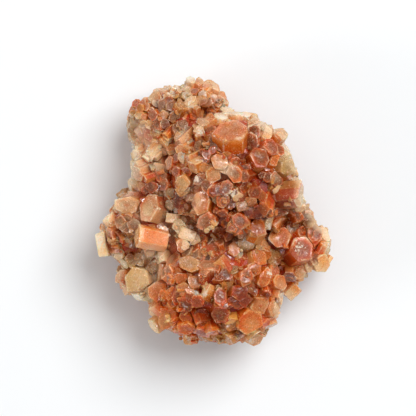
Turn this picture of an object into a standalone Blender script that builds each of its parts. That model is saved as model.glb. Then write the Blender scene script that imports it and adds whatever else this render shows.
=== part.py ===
"""Aragonite star cluster: one intergrown mass of short six-sided prisms with flat ends.

The crystals grow out of a few common centres (the lobes) and run into each other at their roots, so the whole
cluster is one closed solid. It lies on the flat ends of a few crystals that point straight down.

Units: metres, +Z up. The origin is the middle of the outline's box, on the surface that the cluster rests on.
Plan positions, radii and heights are given in grid steps of STEP, as on a squared plan of the cluster seen from
above, with x counted to the right and y counted down the page.
"""
import math
import random

import bmesh
import bpy
from mathutils import Vector

STEP = 0.0002407          # one grid step of the plan: 65 mm over the 270 steps of the longest side
PLAN_X, PLAN_Y = 212.2, 213.0   # the plan position that is the origin
FILL_SPACING = 21.0          # mean distance between the crystals of the sides and the underside, in steps
FILL_RADIUS = (9.5, 14.0)   # their corner radius, in steps
BALL = 0.90               # the solid heart of a lobe, as a share of its radius
FLOOR_GAP = 4.5           # how far every other crystal stays above the surface, in steps

# lobes: plan x, plan y, height of the centre, radius along the plan, radius upwards
LOBES = [
    (178, 128, 54, 47, 49),    # upper left
    (230, 180, 80, 70, 74),    # main dome
    (221, 281, 68, 66, 62),    # lower dome
    (183, 298, 50, 45, 44),    # lower left shoulder
    (147, 229, 54, 48, 50),    # left
    (149, 277, 42, 35, 36),    # pale corner
    (287, 242, 52, 46, 46),    # right
    (162, 175, 56, 36, 44),    # saddle between the upper lobe and the left one
    (194, 234, 64, 42, 50),    # waist between the domes
]

# outline of the cluster on the plan, clockwise from the top
OUTLINE = [
    (184, 84), (187, 77), (192, 73), (200, 76), (210, 79), (219, 83), (226, 94), (229, 101), (232, 109),
    (238, 113), (244, 111), (250, 114), (258, 117), (260, 124), (266, 125), (274, 127), (281, 127), (286, 135),
    (289, 146), (291, 160), (296, 167), (298, 178), (304, 182), (307, 195), (306, 203), (309, 208), (312, 214),
    (315, 220), (319, 226), (327, 228), (330, 238), (331, 248), (334, 258), (333, 267), (323, 275), (314, 269),
    (306, 272), (303, 280), (307, 286), (305, 293), (298, 301), (287, 296), (284, 296), (279, 304), (279, 321),
    (272, 332), (265, 338), (263, 346), (252, 348), (246, 342), (232, 344), (215, 343), (204, 341), (198, 347),
    (182, 345), (179, 335), (166, 330), (157, 332), (151, 325), (149, 315), (147, 303), (140, 299), (133, 300),
    (128, 296), (121, 290), (114, 282), (115, 273), (119, 266), (115, 260), (102, 262), (95, 253), (94, 240),
    (95, 230), (102, 227), (101, 220), (106, 216), (107, 210), (116, 206), (115, 196), (119, 189), (127, 183),
    (131, 176), (131, 168), (133, 160), (131, 150), (127, 140), (124, 130), (124, 119), (128, 109), (130, 101),
    (135, 97), (143, 98), (149, 97), (153, 90), (156, 87), (170, 86),
]

# how often a crystal of each kind leans far over and shows a flank instead of its end. The kinds go by colour:
# o orange, b brown-pink, m mauve-brown, p pale peach, t tan, r red-flanked, s bright orange, c cream, g glassy,
# d deep red-brown, h pale-rimmed, w white, y pale yellow
SHOWS_FLANK = {"o": 0.45, "b": 0.12, "m": 0.0, "p": 0.40, "t": 0.25, "r": 0.0, "s": 0.0, "c": 0.60, "g": 0.30, "d": 0.30, "h": 0.0,
               "w": 0.0, "y": 0.0}

# crystals of the upper side: plan x, plan y, corner radius, height over the lobe's surface, kind and, where it is
# given, the direction the crystal leans to (degrees from +X) and how far (degrees from +Z)
CRYSTALS = [
    # upper left lobe
    (156, 99, 7.0, 3, "p"), (156, 90, 5.5, -1, "p"),
    (163, 107, 6.0, 2, "b"),
    (172, 107, 5.5, 4, "m"), (153, 117, 5.5, 2, "b"), (164, 116, 5.5, 1, "p"),
    (175, 118, 5.5, 4, "m"), (183, 126, 6.0, 4, "b"),
    (191, 106, 6.0, 5, "c"), (187, 90, 5.5, 1, "p"),
    (190, 80, 7.5, 0, "c"), (203, 86, 8.0, 3, "o"), (212, 90, 8.0, 2, "p", 60, 30), (215, 85, 6.5, 18, "p", 62, 52),
    (221, 95, 6.5, -2, "o"), (202, 101, 5.5, 4, "t"), (214, 102, 6.0, 2, "b"),
    (226, 108, 6.0, -1, "c"),
    # main dome, upper part
    (203, 123, 7.0, 2, "p", 105, 48), (221, 117, 7.5, -5, "c"),
    (255, 121, 7.5, -3, "p"), (231, 132, 17.0, 7, "o", 92, 47), (264, 132, 9.5, 5, "c", 62, 42),
    (280, 136, 8.5, 1, "p", 40, 52), (270, 148, 9.5, 5, "b", 30, 38),
    (259, 158, 10.5, 6, "b", 40, 34), (250, 143, 8.5, 0, "m", 200, 20), (287, 168, 9.0, 6, "y", 5, 40),
    (197, 166, 7.5, 4, "p"), (220, 163, 9.0, 6, "p", 100, 10), (213, 176, 8.0, 6, "p"),
    (234, 175, 8.5, 9, "h", 185, 18),
    (171, 138, 7.5, 0, "t"),
    (183, 183, 7.5, 3, "t"),
    (138, 161, 7.5, 0, "c"), (143, 172, 8.0, 1, "p"),
    (226, 188, 7.5, 7, "m", 210, 12), (222, 200, 8.0, 6, "h", 260, 14),
    (254, 193, 7.5, 5, "b"), (242, 206, 7.5, 5, "t"),
    (239.5, 221, 9.0, 9, "h", 255, 16),
    (201, 204, 11.5, 5, "o", 190, 20), (206, 222, 10.0, 6, "b", 235, 24),
    (257, 227, 10.0, 5, "o", 60, 30), (245, 243, 8.0, 4, "g"), (268, 224, 7.5, 2, "g"),
    (265, 244, 8.0, 4, "p"),
    # left sub-cluster
    (128, 205, 11.0, 2, "t", 200, 16), (149, 208, 12.5, 6, "r", 165, 32), (121, 221, 7.5, 2, "m"),
    (110, 236, 9.0, 2, "b"), (104, 244, 12.5, 6, "w", 190, 16), (138, 234, 12.5, 9, "s", 168, 78),
    (173, 218, 8.5, 8, "w", 140, 16), (188, 234, 9.0, 9, "w", 300, 10),
    (180, 226, 8.5, 6, "y", 120, 12), (163, 233, 8.5, 9, "p", 60, 20), (173, 258, 9.5, 4, "b"),
    (155, 267, 8.0, 1, "g"),
    # pale corner
    (121, 277, 8.0, 1, "o", 190, 50), (138, 280, 13.5, 4, "y", 215, 20),
    (157, 291, 10.5, 4, "o", 200, 22),
    # lower dome
    (190, 263, 10.5, 5, "t", 150, 20), (220, 263, 8.0, 3, "o"), (209, 264, 9.0, 6, "b", 95, 36),
    (246, 276, 9.0, 6, "h", 10, 26), (259, 256, 9.5, 4, "o", 20, 40), (264, 277, 9.5, 4, "o", 350, 34), (279, 281, 9.0, 2, "o", 10, 44),
    (240, 290, 9.0, 4, "b"),
    (186, 289, 8.0, 5, "p", 260, 14), (220, 295, 9.0, 6, "b", 120, 12), (185, 304, 8.0, 5, "m", 265, 20),
    (220, 313, 9.5, 5, "m", 275, 24), (260, 304, 10.5, 4, "p", 330, 34),
    (249, 321, 13.5, 4, "o", 300, 36), (229, 322, 8.0, 0, "g"),
    (187, 327, 9.5, 3, "o", 255, 38), (203, 332, 9.0, 1, "b"), (214, 331, 9.0, 1, "o"), (165, 320, 9.5, 2, "o", 230, 34),
    (154, 325, 7.5, 0, "c", 215, 58), (155, 307, 7.5, 1, "o"), (190, 340, 7.5, -3, "c", 265, 50), (231, 336, 9.5, -2, "g"),
    (255, 340, 8.5, 0, "p", 290, 52), (270, 322, 7.5, 0, "p"), (274, 308, 7.5, 1, "p"),
    (171, 292, 7.5, 2, "o"),
    # right lobe
    (299, 193, 12.5, 34, "r", 5, 70), (277, 213, 8.0, 2, "m"), (292, 208, 7.5, 3, "h", 30, 30),
    (314, 233, 10.0, 6, "b", 60, 22), (325, 236, 7.5, 2, "w"), (279, 236, 11.5, 5, "p", 140, 14), (301, 248, 13.0, 6, "b", 40, 26),
    (325, 244, 7.5, 0, "p"), (322, 262, 10.5, 7, "s", 335, 35), (273, 258, 8.5, 0, "g"),
    (289, 277, 7.5, 2, "m"), (296, 290, 9.5, 10, "s", 320, 36),
]

# crystals that point straight down and carry the cluster: plan x, plan y, corner radius, turn in degrees
FEET = [
    (170, 130, 11.0, 12), (243, 160, 12.5, 31), (143, 234, 11.5, 4), (291, 240, 12.0, 22), (216, 296, 13.0, 40),
    (232, 222, 11.0, 17),
]


def to_world(x, y, z):
    return Vector(((x - PLAN_X) * STEP, (PLAN_Y - y) * STEP, z * STEP))


def inside_outline(x, y):
    inside = False
    for (x0, y0), (x1, y1) in zip(OUTLINE, OUTLINE[1:] + OUTLINE[:1]):
        if (y0 > y) != (y1 > y) and x < x0 + (y - y0) * (x1 - x0) / (y1 - y0):
            inside = not inside
    return inside


def surface_height(x, y):
    """The lobe whose surface is highest at this plan position, and that height. Past a lobe's rim its flank counts."""
    best = None
    for lobe in LOBES:
        cx, cy, cz, rh, rv = lobe
        t = math.hypot(x - cx, y - cy) / rh
        if t < 0.97:
            z = cz + rv * math.sqrt(1.0 - t * t)
        else:
            z = cz + rv * 0.24 - (t - 0.97) * 3.0 * rv
        if best is None or z > best[0]:
            best = (z, lobe)
    return best


def in_other_lobe(p, own, share):
    for lobe in LOBES:
        if lobe is own:
            continue
        cx, cy, cz, rh, rv = lobe
        if ((p[0] - cx) / rh) ** 2 + ((p[1] - cy) / rh) ** 2 + ((p[2] - cz) / rv) ** 2 < share * share:
            return True
    return False


def drawn_in(x, y, cx, cy):
    """The plan position, moved towards cx, cy until it lies within the outline."""
    for k in range(40):
        if inside_outline(x, y):
            break
        x += (cx - x) * 0.03
        y += (cy - y) * 0.03
    return x, y


def fits(end, axis, r, turn, length):
    """Whether the prism stays within the outline, seen from above, at its end and further back."""
    return all(inside_outline(c.x, c.y) for d in (0.0, 0.35, 0.7) for c in ring(end, axis, r, turn, d * length))


def ring(end, axis, radius, turn, along=0.0):
    """The six corners of the prism, `along` steps behind its end."""
    side = axis.orthogonal().normalized()
    up = axis.cross(side).normalized()
    return [end - axis * along + side * (radius * math.cos(turn + k * math.pi / 3))
            + up * (radius * math.sin(turn + k * math.pi / 3)) for k in range(6)]


def place(x, y, r, up, kind, lean):
    """A crystal of the upper side: where its end stands, which way it points and how it is turned."""
    rng = random.Random(int(x * 977 + y * 131))
    z, lobe = surface_height(x, y)
    cx, cy, cz, rh, rv = lobe
    lies = rng.random()
    end = Vector((x, y, z + 1.25 * up + rng.uniform(-3.0, 2.0) + min(3.0, 0.35 * (r - 5.0))))
    r *= rng.uniform(1.04, 1.16)
    if lean:
        az, tilt = math.radians(lean[0]), math.radians(lean[1])
        axis = Vector((math.sin(tilt) * math.cos(az), -math.sin(tilt) * math.sin(az), math.cos(tilt)))
    elif lies < SHOWS_FLANK[kind]:      # leans far over, so that a flank looks up and its middle stands at x, y
        out = math.atan2(y - cy, x - cx) + rng.uniform(-1.3, 1.3)
        tilt = math.radians(rng.uniform(48, 74))
        axis = Vector((math.sin(tilt) * math.cos(out), math.sin(tilt) * math.sin(out), math.cos(tilt)))
        end = end + axis * (0.75 * r) - Vector((0, 0, 0.25 * r))
    else:
        axis = Vector(((x - cx) / rh, (y - cy) / rh, (z - cz) / rv + 0.22)).normalized()
        axis = (axis + Vector((rng.uniform(-1, 1), rng.uniform(-1, 1), rng.uniform(-1, 1))) * 0.42).normalized()
    turn = rng.uniform(0, math.pi / 3)
    if lean and lean[1] > 40:        # a crystal that lies over turns a flank upwards
        side = axis.orthogonal().normalized()
        turn = math.atan2(axis.cross(side).normalized().z, side.z) + math.pi / 6 + 0.3 * (turn - 0.5)
    for _ in range(30):     # a crystal of the rim is drawn in until it lies within the outline
        if fits(end, axis, r * 0.93, turn, 24.0):
            break
        end = end - Vector((end.x - cx, end.y - cy, 0)).normalized() * 0.6
    return end, axis, r, turn, 30.0


def filling_crystals(rng):
    """Crystals of the flanks and the underside, evenly spread over each lobe where no other lobe covers them."""
    out = []
    for lobe in LOBES:
        cx, cy, cz, rh, rv = lobe
        count = int(4 * math.pi * rh * rv / FILL_SPACING ** 2 * 1.05)
        for k in range(count):
            dz = 1 - 2 * (k + 0.5) / count
            az = k * math.pi * (3 - math.sqrt(5)) + 0.7 * rh
            flat = math.sqrt(1 - dz * dz)
            d = Vector((flat * math.cos(az), flat * math.sin(az), dz))
            d = (d + Vector((rng.uniform(-1, 1), rng.uniform(-1, 1), rng.uniform(-1, 1))) * 0.10).normalized()
            r = rng.uniform(*FILL_RADIUS)
            lift = rng.uniform(-3.0, 3.0)
            turn = rng.uniform(0, math.pi / 3)
            if d.z > 0.30:
                continue
            length = 1.0 / math.sqrt((d.x * d.x + d.y * d.y) / rh ** 2 + d.z * d.z / rv ** 2) + lift
            full = length
            while length > 0.45 * full:
                end = Vector((cx, cy, cz)) + d * length
                if fits(end, d, r, turn, 24.0) and all(c.z > FLOOR_GAP for c in ring(end, d, r, turn)):
                    break
                length -= 0.8
            else:
                continue
            if in_other_lobe(end, lobe, 0.97):
                continue
            if any((end - e).length < 0.78 * (r + r2) for e, _, r2, _, _ in out):
                continue
            if any(math.hypot(end.x - f[0], end.y - f[1]) < f[2] + 0.9 * r and end.z < 30 for f in FEET):
                continue
            out.append((end, d, r, turn, min(30.0, length - 3.0)))
    return out


def prism_mesh(name, end, axis, radius, turn, length):
    bm = bmesh.new()
    top = [bm.verts.new(to_world(*c)) for c in ring(end, axis, radius, turn)]
    low = [bm.verts.new(to_world(*c)) for c in ring(end, axis, radius * 0.94, turn, length)]
    bm.faces.new(top)
    bm.faces.new(low[::-1])
    for k in range(6):
        bm.faces.new((top[k], low[k], low[(k + 1) % 6], top[(k + 1) % 6]))
    bmesh.ops.recalc_face_normals(bm, faces=bm.faces[:])
    mesh = bpy.data.meshes.new(name)
    bm.to_mesh(mesh)
    bm.free()
    return mesh


def ball_mesh(name, lobe):
    cx, cy, cz, rh, rv = lobe
    bm = bmesh.new()
    bmesh.ops.create_icosphere(bm, subdivisions=1, radius=1.0)
    for v in bm.verts:
        p = v.co * BALL
        v.co = to_world(*drawn_in(cx + p.x * rh, cy - p.y * rh, cx, cy), cz + p.z * rv)
    mesh = bpy.data.meshes.new(name)
    bm.to_mesh(mesh)
    bm.free()
    return mesh


def keep_outer_shell(mesh):
    """Keeps the largest connected shell, so that pockets closed off between crystals are solid."""
    bm = bmesh.new()
    bm.from_mesh(mesh)
    bm.faces.ensure_lookup_table()
    seen, shells = set(), []
    for face in bm.faces:
        if face in seen:
            continue
        stack, shell = [face], []
        seen.add(face)
        while stack:
            f = stack.pop()
            shell.append(f)
            for e in f.edges:
                for g in e.link_faces:
                    if g not in seen:
                        seen.add(g)
                        stack.append(g)
        shells.append(shell)
    shells.sort(key=len, reverse=True)
    drop = [f for shell in shells[1:] for f in shell]
    if drop:
        bmesh.ops.delete(bm, geom=drop, context="FACES")
    bm.to_mesh(mesh)
    bm.free()


def stone_material():
    mat = bpy.data.materials.new("aragonite")
    mat.use_nodes = True
    bsdf = mat.node_tree.nodes["Principled BSDF"]
    bsdf.inputs["Base Color"].default_value = (0.55, 0.22, 0.10, 1)
    bsdf.inputs["Roughness"].default_value = 0.3
    bsdf.inputs["Metallic"].default_value = 0.0
    return mat


def build():
    for ob in list(bpy.data.objects):
        bpy.data.objects.remove(ob, do_unlink=True)
    rng = random.Random(11)
    grown = [place(*row[:5], row[5:]) for row in CRYSTALS] + filling_crystals(rng)
    for x, y, r, turn in FEET:
        z, lobe = surface_height(x, y)
        grown.append((Vector((x, y, 0.0)), Vector((0, 0, -1)), r, math.radians(turn), 42.0))

    growth = bpy.data.collections.new("growth")
    bpy.context.scene.collection.children.link(growth)
    helpers = []
    for k, (end, axis, r, turn, length) in enumerate(grown):
        helpers.append(bpy.data.objects.new("crystal_%03d" % k, prism_mesh("crystal_%03d" % k, end, axis, r, turn, length)))
    for k, lobe in enumerate(LOBES[1:]):
        helpers.append(bpy.data.objects.new("lobe_%d" % (k + 1), ball_mesh("lobe_%d" % (k + 1), lobe)))
    for ob in helpers:
        ob.hide_render = True
        ob.display_type = "WIRE"
        growth.objects.link(ob)

    heart = bpy.data.objects.new("heart", ball_mesh("heart", LOBES[0]))
    bpy.context.scene.collection.objects.link(heart)
    union = heart.modifiers.new("grown_together", "BOOLEAN")
    union.operation = "UNION"
    union.solver = "EXACT"
    union.operand_type = "COLLECTION"
    union.collection = growth

    depsgraph = bpy.context.evaluated_depsgraph_get()
    mesh = bpy.data.meshes.new_from_object(heart.evaluated_get(depsgraph))
    mesh.name = "aragonite_cluster"
    keep_outer_shell(mesh)
    for ob in helpers + [heart]:
        bpy.data.objects.remove(ob, do_unlink=True)
    bpy.data.collections.remove(growth)

    mesh.materials.clear()
    mesh.materials.append(stone_material())
    cluster = bpy.data.objects.new("aragonite_cluster", mesh)
    bpy.context.scene.collection.objects.link(cluster)


build()
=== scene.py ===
import bisect
import math
import random

import bmesh
import bpy
import numpy as np
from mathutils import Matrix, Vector, noise


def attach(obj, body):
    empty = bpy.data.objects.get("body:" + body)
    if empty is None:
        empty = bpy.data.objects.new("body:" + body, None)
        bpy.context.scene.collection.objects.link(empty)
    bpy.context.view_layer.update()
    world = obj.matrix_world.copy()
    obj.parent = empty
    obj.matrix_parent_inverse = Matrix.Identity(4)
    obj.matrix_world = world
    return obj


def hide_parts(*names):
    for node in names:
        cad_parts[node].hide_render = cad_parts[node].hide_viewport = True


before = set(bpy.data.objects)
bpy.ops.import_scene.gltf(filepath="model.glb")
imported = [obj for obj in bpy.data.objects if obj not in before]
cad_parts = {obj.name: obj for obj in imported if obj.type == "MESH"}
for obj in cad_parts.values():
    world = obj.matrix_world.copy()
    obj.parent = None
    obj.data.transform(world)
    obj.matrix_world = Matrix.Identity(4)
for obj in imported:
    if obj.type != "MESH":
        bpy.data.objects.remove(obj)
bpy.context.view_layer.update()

# ---------------------------------------------------------------------------------------------------------------
# The cluster's plan: the same grid, lobes, outline and rows of crystals as the solid, with every small crystal too.
# ---------------------------------------------------------------------------------------------------------------
STEP = 0.0002407          # one grid step of the plan, in metres
PLAN_X, PLAN_Y = 212.2, 213.0   # the plan position that is the origin
FILL_SPACING = 21.0
FILL_RADIUS = (9.5, 14.0)
FLOOR_GAP = 4.5

LOBES = [
    (178, 128, 54, 47, 49),    # upper left
    (230, 180, 80, 70, 74),    # main dome
    (221, 281, 68, 66, 62),    # lower dome
    (183, 298, 50, 45, 44),    # lower left shoulder
    (147, 229, 54, 48, 50),    # left
    (149, 277, 42, 35, 36),    # pale corner
    (287, 242, 52, 46, 46),    # right
    (162, 175, 56, 36, 44),    # saddle between the upper lobe and the left one
    (194, 234, 64, 42, 50),    # waist between the domes
]

OUTLINE = [
    (184, 84), (187, 77), (192, 73), (200, 76), (210, 79), (219, 83), (226, 94), (229, 101), (232, 109),
    (238, 113), (244, 111), (250, 114), (258, 117), (260, 124), (266, 125), (274, 127), (281, 127), (286, 135),
    (289, 146), (291, 160), (296, 167), (298, 178), (304, 182), (307, 195), (306, 203), (309, 208), (312, 214),
    (315, 220), (319, 226), (327, 228), (330, 238), (331, 248), (334, 258), (333, 267), (323, 275), (314, 269),
    (306, 272), (303, 280), (307, 286), (305, 293), (298, 301), (287, 296), (284, 296), (279, 304), (279, 321),
    (272, 332), (265, 338), (263, 346), (252, 348), (246, 342), (232, 344), (215, 343), (204, 341), (198, 347),
    (182, 345), (179, 335), (166, 330), (157, 332), (151, 325), (149, 315), (147, 303), (140, 299), (133, 300),
    (128, 296), (121, 290), (114, 282), (115, 273), (119, 266), (115, 260), (102, 262), (95, 253), (94, 240),
    (95, 230), (102, 227), (101, 220), (106, 216), (107, 210), (116, 206), (115, 196), (119, 189), (127, 183),
    (131, 176), (131, 168), (133, 160), (131, 150), (127, 140), (124, 130), (124, 119), (128, 109), (130, 101),
    (135, 97), (143, 98), (149, 97), (153, 90), (156, 87), (170, 86),
]

# plan x, plan y, corner radius, height over the lobe's surface, tone, and the lean where it isn't the lobe's own.
# Tones: o orange, b brown-pink, m mauve-brown, p pale peach, t tan, r red-flanked, s bright orange, c cream,
# g glassy, d deep red-brown, h mauve middle with a pale rim, v mauve-grey, w white, y pale yellow.
CRYSTALS = [
    # upper left lobe
    (137, 108, 5.0, 0, "o"), (133, 102, 5.0, -1, "p"), (130, 117, 4.5, 0, "p"), (143, 116, 4.5, 1, "t"),
    (130, 131, 5.0, -2, "t"), (133, 143, 5.0, -2, "g"), (137, 153, 5.0, -1, "c"), (150, 126, 4.5, 1, "t"),
    (147, 107, 4.5, 2, "o"), (156, 99, 7.0, 3, "p", 140, 30), (156, 90, 5.5, -1, "p"), (166, 89, 4.5, 0, "p"),
    (164, 97, 4.5, 2, "b"), (169, 98, 5.0, 3, "t"), (176, 93, 5.0, 2, "p"), (163, 107, 6.0, 2, "v"),
    (172, 107, 5.5, 4, "v"), (153, 117, 5.5, 2, "b"), (164, 116, 5.5, 1, "p"), (158, 126, 4.5, 1, "m"),
    (166, 125, 4.5, 2, "v"), (152, 127, 4.0, 0, "m"), (175, 118, 5.5, 4, "v"), (183, 126, 6.0, 4, "v"),
    (183, 109, 5.0, 3, "t"), (191, 106, 6.0, 5, "c"), (183, 98, 5.0, 3, "g"), (187, 90, 5.5, 1, "p"),
    (190, 80, 7.5, 0, "c"), (194, 95, 4.5, 3, "b"), (203, 86, 8.0, 3, "o"), (212, 90, 8.0, 2, "p", 60, 30), (215, 85, 6.5, 18, "p", 62, 52),
    (221, 95, 6.5, -2, "o"), (202, 101, 5.5, 4, "t"), (214, 102, 6.0, 2, "b"), (220, 107, 4.5, 1, "o"),
    (224, 100, 4.5, -2, "o"), (226, 108, 6.0, -1, "c"), (213, 115, 4.5, -1, "m"), (204, 114, 5.0, -4, "d"),
    (195, 117, 5.0, 0, "b"), (174, 129, 4.5, 0, "b"), (160, 134, 5.0, -1, "t"),
    # main dome, upper part
    (203, 123, 7.0, 2, "p", 105, 48), (221, 117, 7.5, -5, "c"), (236, 116, 7.0, -6, "p"), (246, 114, 5.0, -7, "c"),
    (255, 121, 7.5, -3, "p"), (231, 132, 17.0, 7, "o", 92, 47), (264, 132, 9.5, 5, "c", 62, 42),
    (280, 136, 8.5, 1, "p", 40, 52), (270, 148, 9.5, 5, "b", 30, 38), (286, 154, 6.0, 0, "m"),
    (259, 158, 10.5, 6, "b", 40, 34), (250, 143, 8.5, 0, "m", 200, 20), (287, 168, 9.0, 6, "y", 5, 40),
    (274, 180, 7.0, 3, "m"), (276, 190, 5.5, 0, "c"), (267, 178, 4.5, 1, "m"), (197, 148, 5.0, 2, "v"),
    (197, 157, 5.0, 2, "v"), (207, 156, 5.5, 5, "b", 110, 18), (212, 146, 6.0, 2, "v"), (185, 158, 5.0, 0, "c"),
    (197, 166, 7.5, 4, "p"), (220, 163, 9.0, 6, "p", 100, 10), (213, 176, 8.0, 6, "p"), (235, 163, 5.0, 3, "b"),
    (234, 175, 8.5, 9, "h", 185, 18), (245, 170, 4.5, 2, "m"), (240, 157, 6.0, -6, "d"), (172, 149, 6.5, 1, "o"),
    (171, 138, 7.5, 0, "t"), (146, 161, 5.5, 3, "c", 225, 66), (153, 152, 5.0, 3, "c", 225, 66), (163, 144, 5.0, 3, "p", 225, 60), (160, 169, 6.5, 1, "b"),
    (169, 163, 6.5, 2, "b"), (186, 141, 6.0, 1, "p"), (199, 134, 5.0, 0, "c"), (163, 153, 5.0, 2, "p"),
    (183, 183, 7.5, 3, "t"), (200, 180, 6.0, 4, "m"), (207, 187, 6.5, 4, "m"), (152, 187, 6.5, 1, "m"),
    (164, 185, 6.5, 2, "h"), (171, 193, 5.5, -3, "g"), (161, 195, 5.5, -2, "g"), (180, 195, 6.0, -4, "d"),
    (138, 161, 7.5, 0, "c"), (143, 172, 8.0, 1, "p"), (133, 184, 6.5, -1, "t"), (172, 205, 6.0, -2, "g"),
    (190, 170, 5.0, 1, "b"), (176, 173, 5.5, 1, "b"), (183, 149, 5.0, 1, "p"), (222, 148, 6.0, 0, "o"),
    (226, 188, 7.5, 7, "m", 210, 12), (235, 195, 5.0, 4, "c"), (222, 200, 8.0, 6, "h", 260, 14), (222, 210, 5.0, 2, "b"),
    (213, 195, 5.0, 3, "g"), (243, 196, 6.0, 4, "b"), (254, 193, 7.5, 5, "b"), (242, 206, 7.5, 5, "t"),
    (251, 203, 4.5, 5, "p"), (239.5, 221, 9.0, 9, "h", 255, 16), (253, 211, 6.5, 1, "d"), (263, 204, 7.0, 3, "o"),
    (268, 213, 5.5, 1, "m"), (201, 204, 11.5, 5, "o", 190, 20), (206, 222, 10.0, 6, "b", 235, 24), (183, 206, 7.0, -3, "d"),
    (193, 226, 6.5, -4, "d"), (226, 222, 5.5, 1, "b"), (220, 231, 6.5, -4, "d"), (230, 236, 5.5, 0, "m"),
    (243, 233, 6.0, 3, "v"), (257, 227, 10.0, 5, "o", 60, 30), (245, 243, 8.0, 4, "g"), (268, 224, 7.5, 2, "g"),
    (265, 244, 8.0, 4, "p"), (199, 244, 5.5, 1, "h"), (219, 240, 6.0, 0, "b"), (234, 248, 6.5, 1, "o"),
    (208, 240, 5.0, -3, "d"),
    # left sub-cluster
    (128, 205, 11.0, 2, "t", 200, 16), (149, 208, 12.5, 6, "r", 165, 32), (121, 221, 7.5, 2, "m"), (135, 225, 7.0, 3, "v", 120, 30),
    (108, 216, 7.0, 4, "w"), (110, 236, 9.0, 2, "b"), (104, 244, 12.5, 6, "w", 190, 16), (138, 234, 12.5, 9, "s", 168, 78),
    (131, 250, 7.0, -6, "d"), (133, 243, 4.5, -1, "g"), (146, 254, 5.0, 0, "g"), (120, 254, 5.5, 0, "g"),
    (133, 260, 6.5, 0, "g"), (152, 251, 7.0, 6, "p"), (173, 218, 8.5, 8, "w", 140, 16), (188, 234, 9.0, 9, "w", 300, 10),
    (180, 226, 8.5, 6, "y", 120, 12), (163, 233, 8.5, 9, "p", 60, 20), (187, 250, 6.5, 3, "v"), (173, 258, 9.5, 4, "b"),
    (161, 255, 6.0, 4, "c", 170, 40), (155, 267, 8.0, 1, "g"),
    # pale corner
    (121, 277, 8.0, 1, "o", 190, 50), (138, 280, 13.5, 4, "y", 215, 20), (124, 263, 5.5, -1, "y"), (128, 290, 6.0, 0, "c"),
    (136, 297, 6.5, -1, "c"), (148, 293, 6.5, 1, "y"), (157, 291, 10.5, 4, "o", 200, 22),
    # lower dome
    (190, 263, 10.5, 5, "t", 150, 20), (220, 263, 8.0, 3, "o"), (209, 264, 9.0, 6, "b", 95, 36), (233, 268, 5.0, 0, "g"),
    (246, 276, 9.0, 6, "h", 10, 26), (259, 256, 9.5, 4, "o", 20, 40), (264, 277, 9.5, 4, "o", 350, 34), (279, 281, 9.0, 2, "o", 10, 44),
    (240, 290, 9.0, 4, "b"), (253, 288, 5.5, 3, "m"), (195, 280, 7.0, 4, "p"), (169, 279, 7.0, 5, "h", 215, 48),
    (181, 277, 6.5, 3, "o"), (186, 289, 8.0, 5, "p", 260, 14), (220, 295, 9.0, 6, "b", 120, 12), (185, 304, 8.0, 5, "m", 265, 20),
    (197, 299, 7.0, 5, "b"), (232, 300, 6.0, 3, "b"), (220, 313, 9.5, 5, "m", 275, 24), (260, 304, 10.5, 4, "p", 330, 34),
    (203, 313, 7.0, -7, "d"), (249, 321, 13.5, 4, "o", 300, 36), (229, 322, 8.0, 0, "g"), (231, 316, 4.5, 2, "c"),
    (187, 327, 9.5, 3, "o", 255, 38), (203, 332, 9.0, 1, "b"), (214, 331, 9.0, 1, "o"), (165, 320, 9.5, 2, "o", 230, 34),
    (154, 325, 7.5, 0, "c", 215, 58), (155, 307, 7.5, 1, "o"), (190, 340, 7.5, -3, "c", 265, 50), (231, 336, 9.5, -2, "g"),
    (255, 340, 8.5, 0, "p", 290, 52), (270, 322, 7.5, 0, "p"), (274, 308, 7.5, 1, "p"), (264, 329, 6.0, -1, "p"),
    (281, 297, 6.0, 0, "d"), (171, 292, 7.5, 2, "o"), (176, 316, 7.0, 3, "o"), (208, 289, 5.0, 2, "c"),
    (227, 285, 6.0, 1, "g"), (226, 273, 6.0, 3, "m"), (263, 290, 6.0, 0, "b"), (241, 303, 6.0, -3, "d"),
    (172, 304, 5.5, 1, "p"), (206, 298, 4.5, 2, "p"), (241, 312, 5.0, -2, "d"), (178, 336, 6.0, -1, "o"),
    # right lobe
    (299, 193, 12.5, 34, "r", 5, 70), (299, 204, 6.0, 32, "c", 300, 40), (276, 196, 5.0, 0, "m"), (277, 213, 8.0, 2, "m"), (292, 208, 7.5, 3, "h", 30, 30),
    (301, 208, 5.0, 1, "m"), (284, 205, 6.0, 0, "o"), (305, 204, 4.5, 0, "p"), (311, 211, 5.0, 0, "o"),
    (304, 216, 6.5, 3, "v"), (312, 220, 6.0, 2, "b"), (292, 227, 6.5, -2, "v"), (303, 231, 7.0, 3, "b"),
    (314, 233, 10.0, 6, "b", 60, 22), (325, 236, 7.5, 2, "w"), (279, 236, 11.5, 5, "o", 140, 14), (301, 248, 13.0, 6, "b", 40, 26),
    (325, 244, 7.5, 0, "p"), (315, 258, 6.5, 2, "m"), (322, 262, 10.5, 7, "s", 335, 35), (273, 258, 8.5, 0, "g"),
    (289, 277, 7.5, 2, "m"), (300, 274, 7.0, 2, "p"), (296, 290, 9.5, 10, "s", 320, 36), (308, 264, 6.5, 1, "p"),
]

FEET = [
    (170, 130, 11.0, 12), (243, 160, 12.5, 31), (143, 234, 11.5, 4), (291, 240, 12.0, 22), (216, 296, 13.0, 40),
    (232, 222, 11.0, 17),
]

SHOWS_FLANK = {"o": 0.45, "b": 0.12, "m": 0.0, "p": 0.40, "t": 0.25, "r": 0.0, "s": 0.0, "c": 0.60, "g": 0.30, "d": 0.30, "h": 0.0,
               "w": 0.0, "y": 0.0, "v": 0.0}

def to_world(x, y, z):
    return Vector(((x - PLAN_X) * STEP, (PLAN_Y - y) * STEP, z * STEP))


def inside_outline(x, y):
    inside = False
    for (x0, y0), (x1, y1) in zip(OUTLINE, OUTLINE[1:] + OUTLINE[:1]):
        if (y0 > y) != (y1 > y) and x < x0 + (y - y0) * (x1 - x0) / (y1 - y0):
            inside = not inside
    return inside


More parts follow.
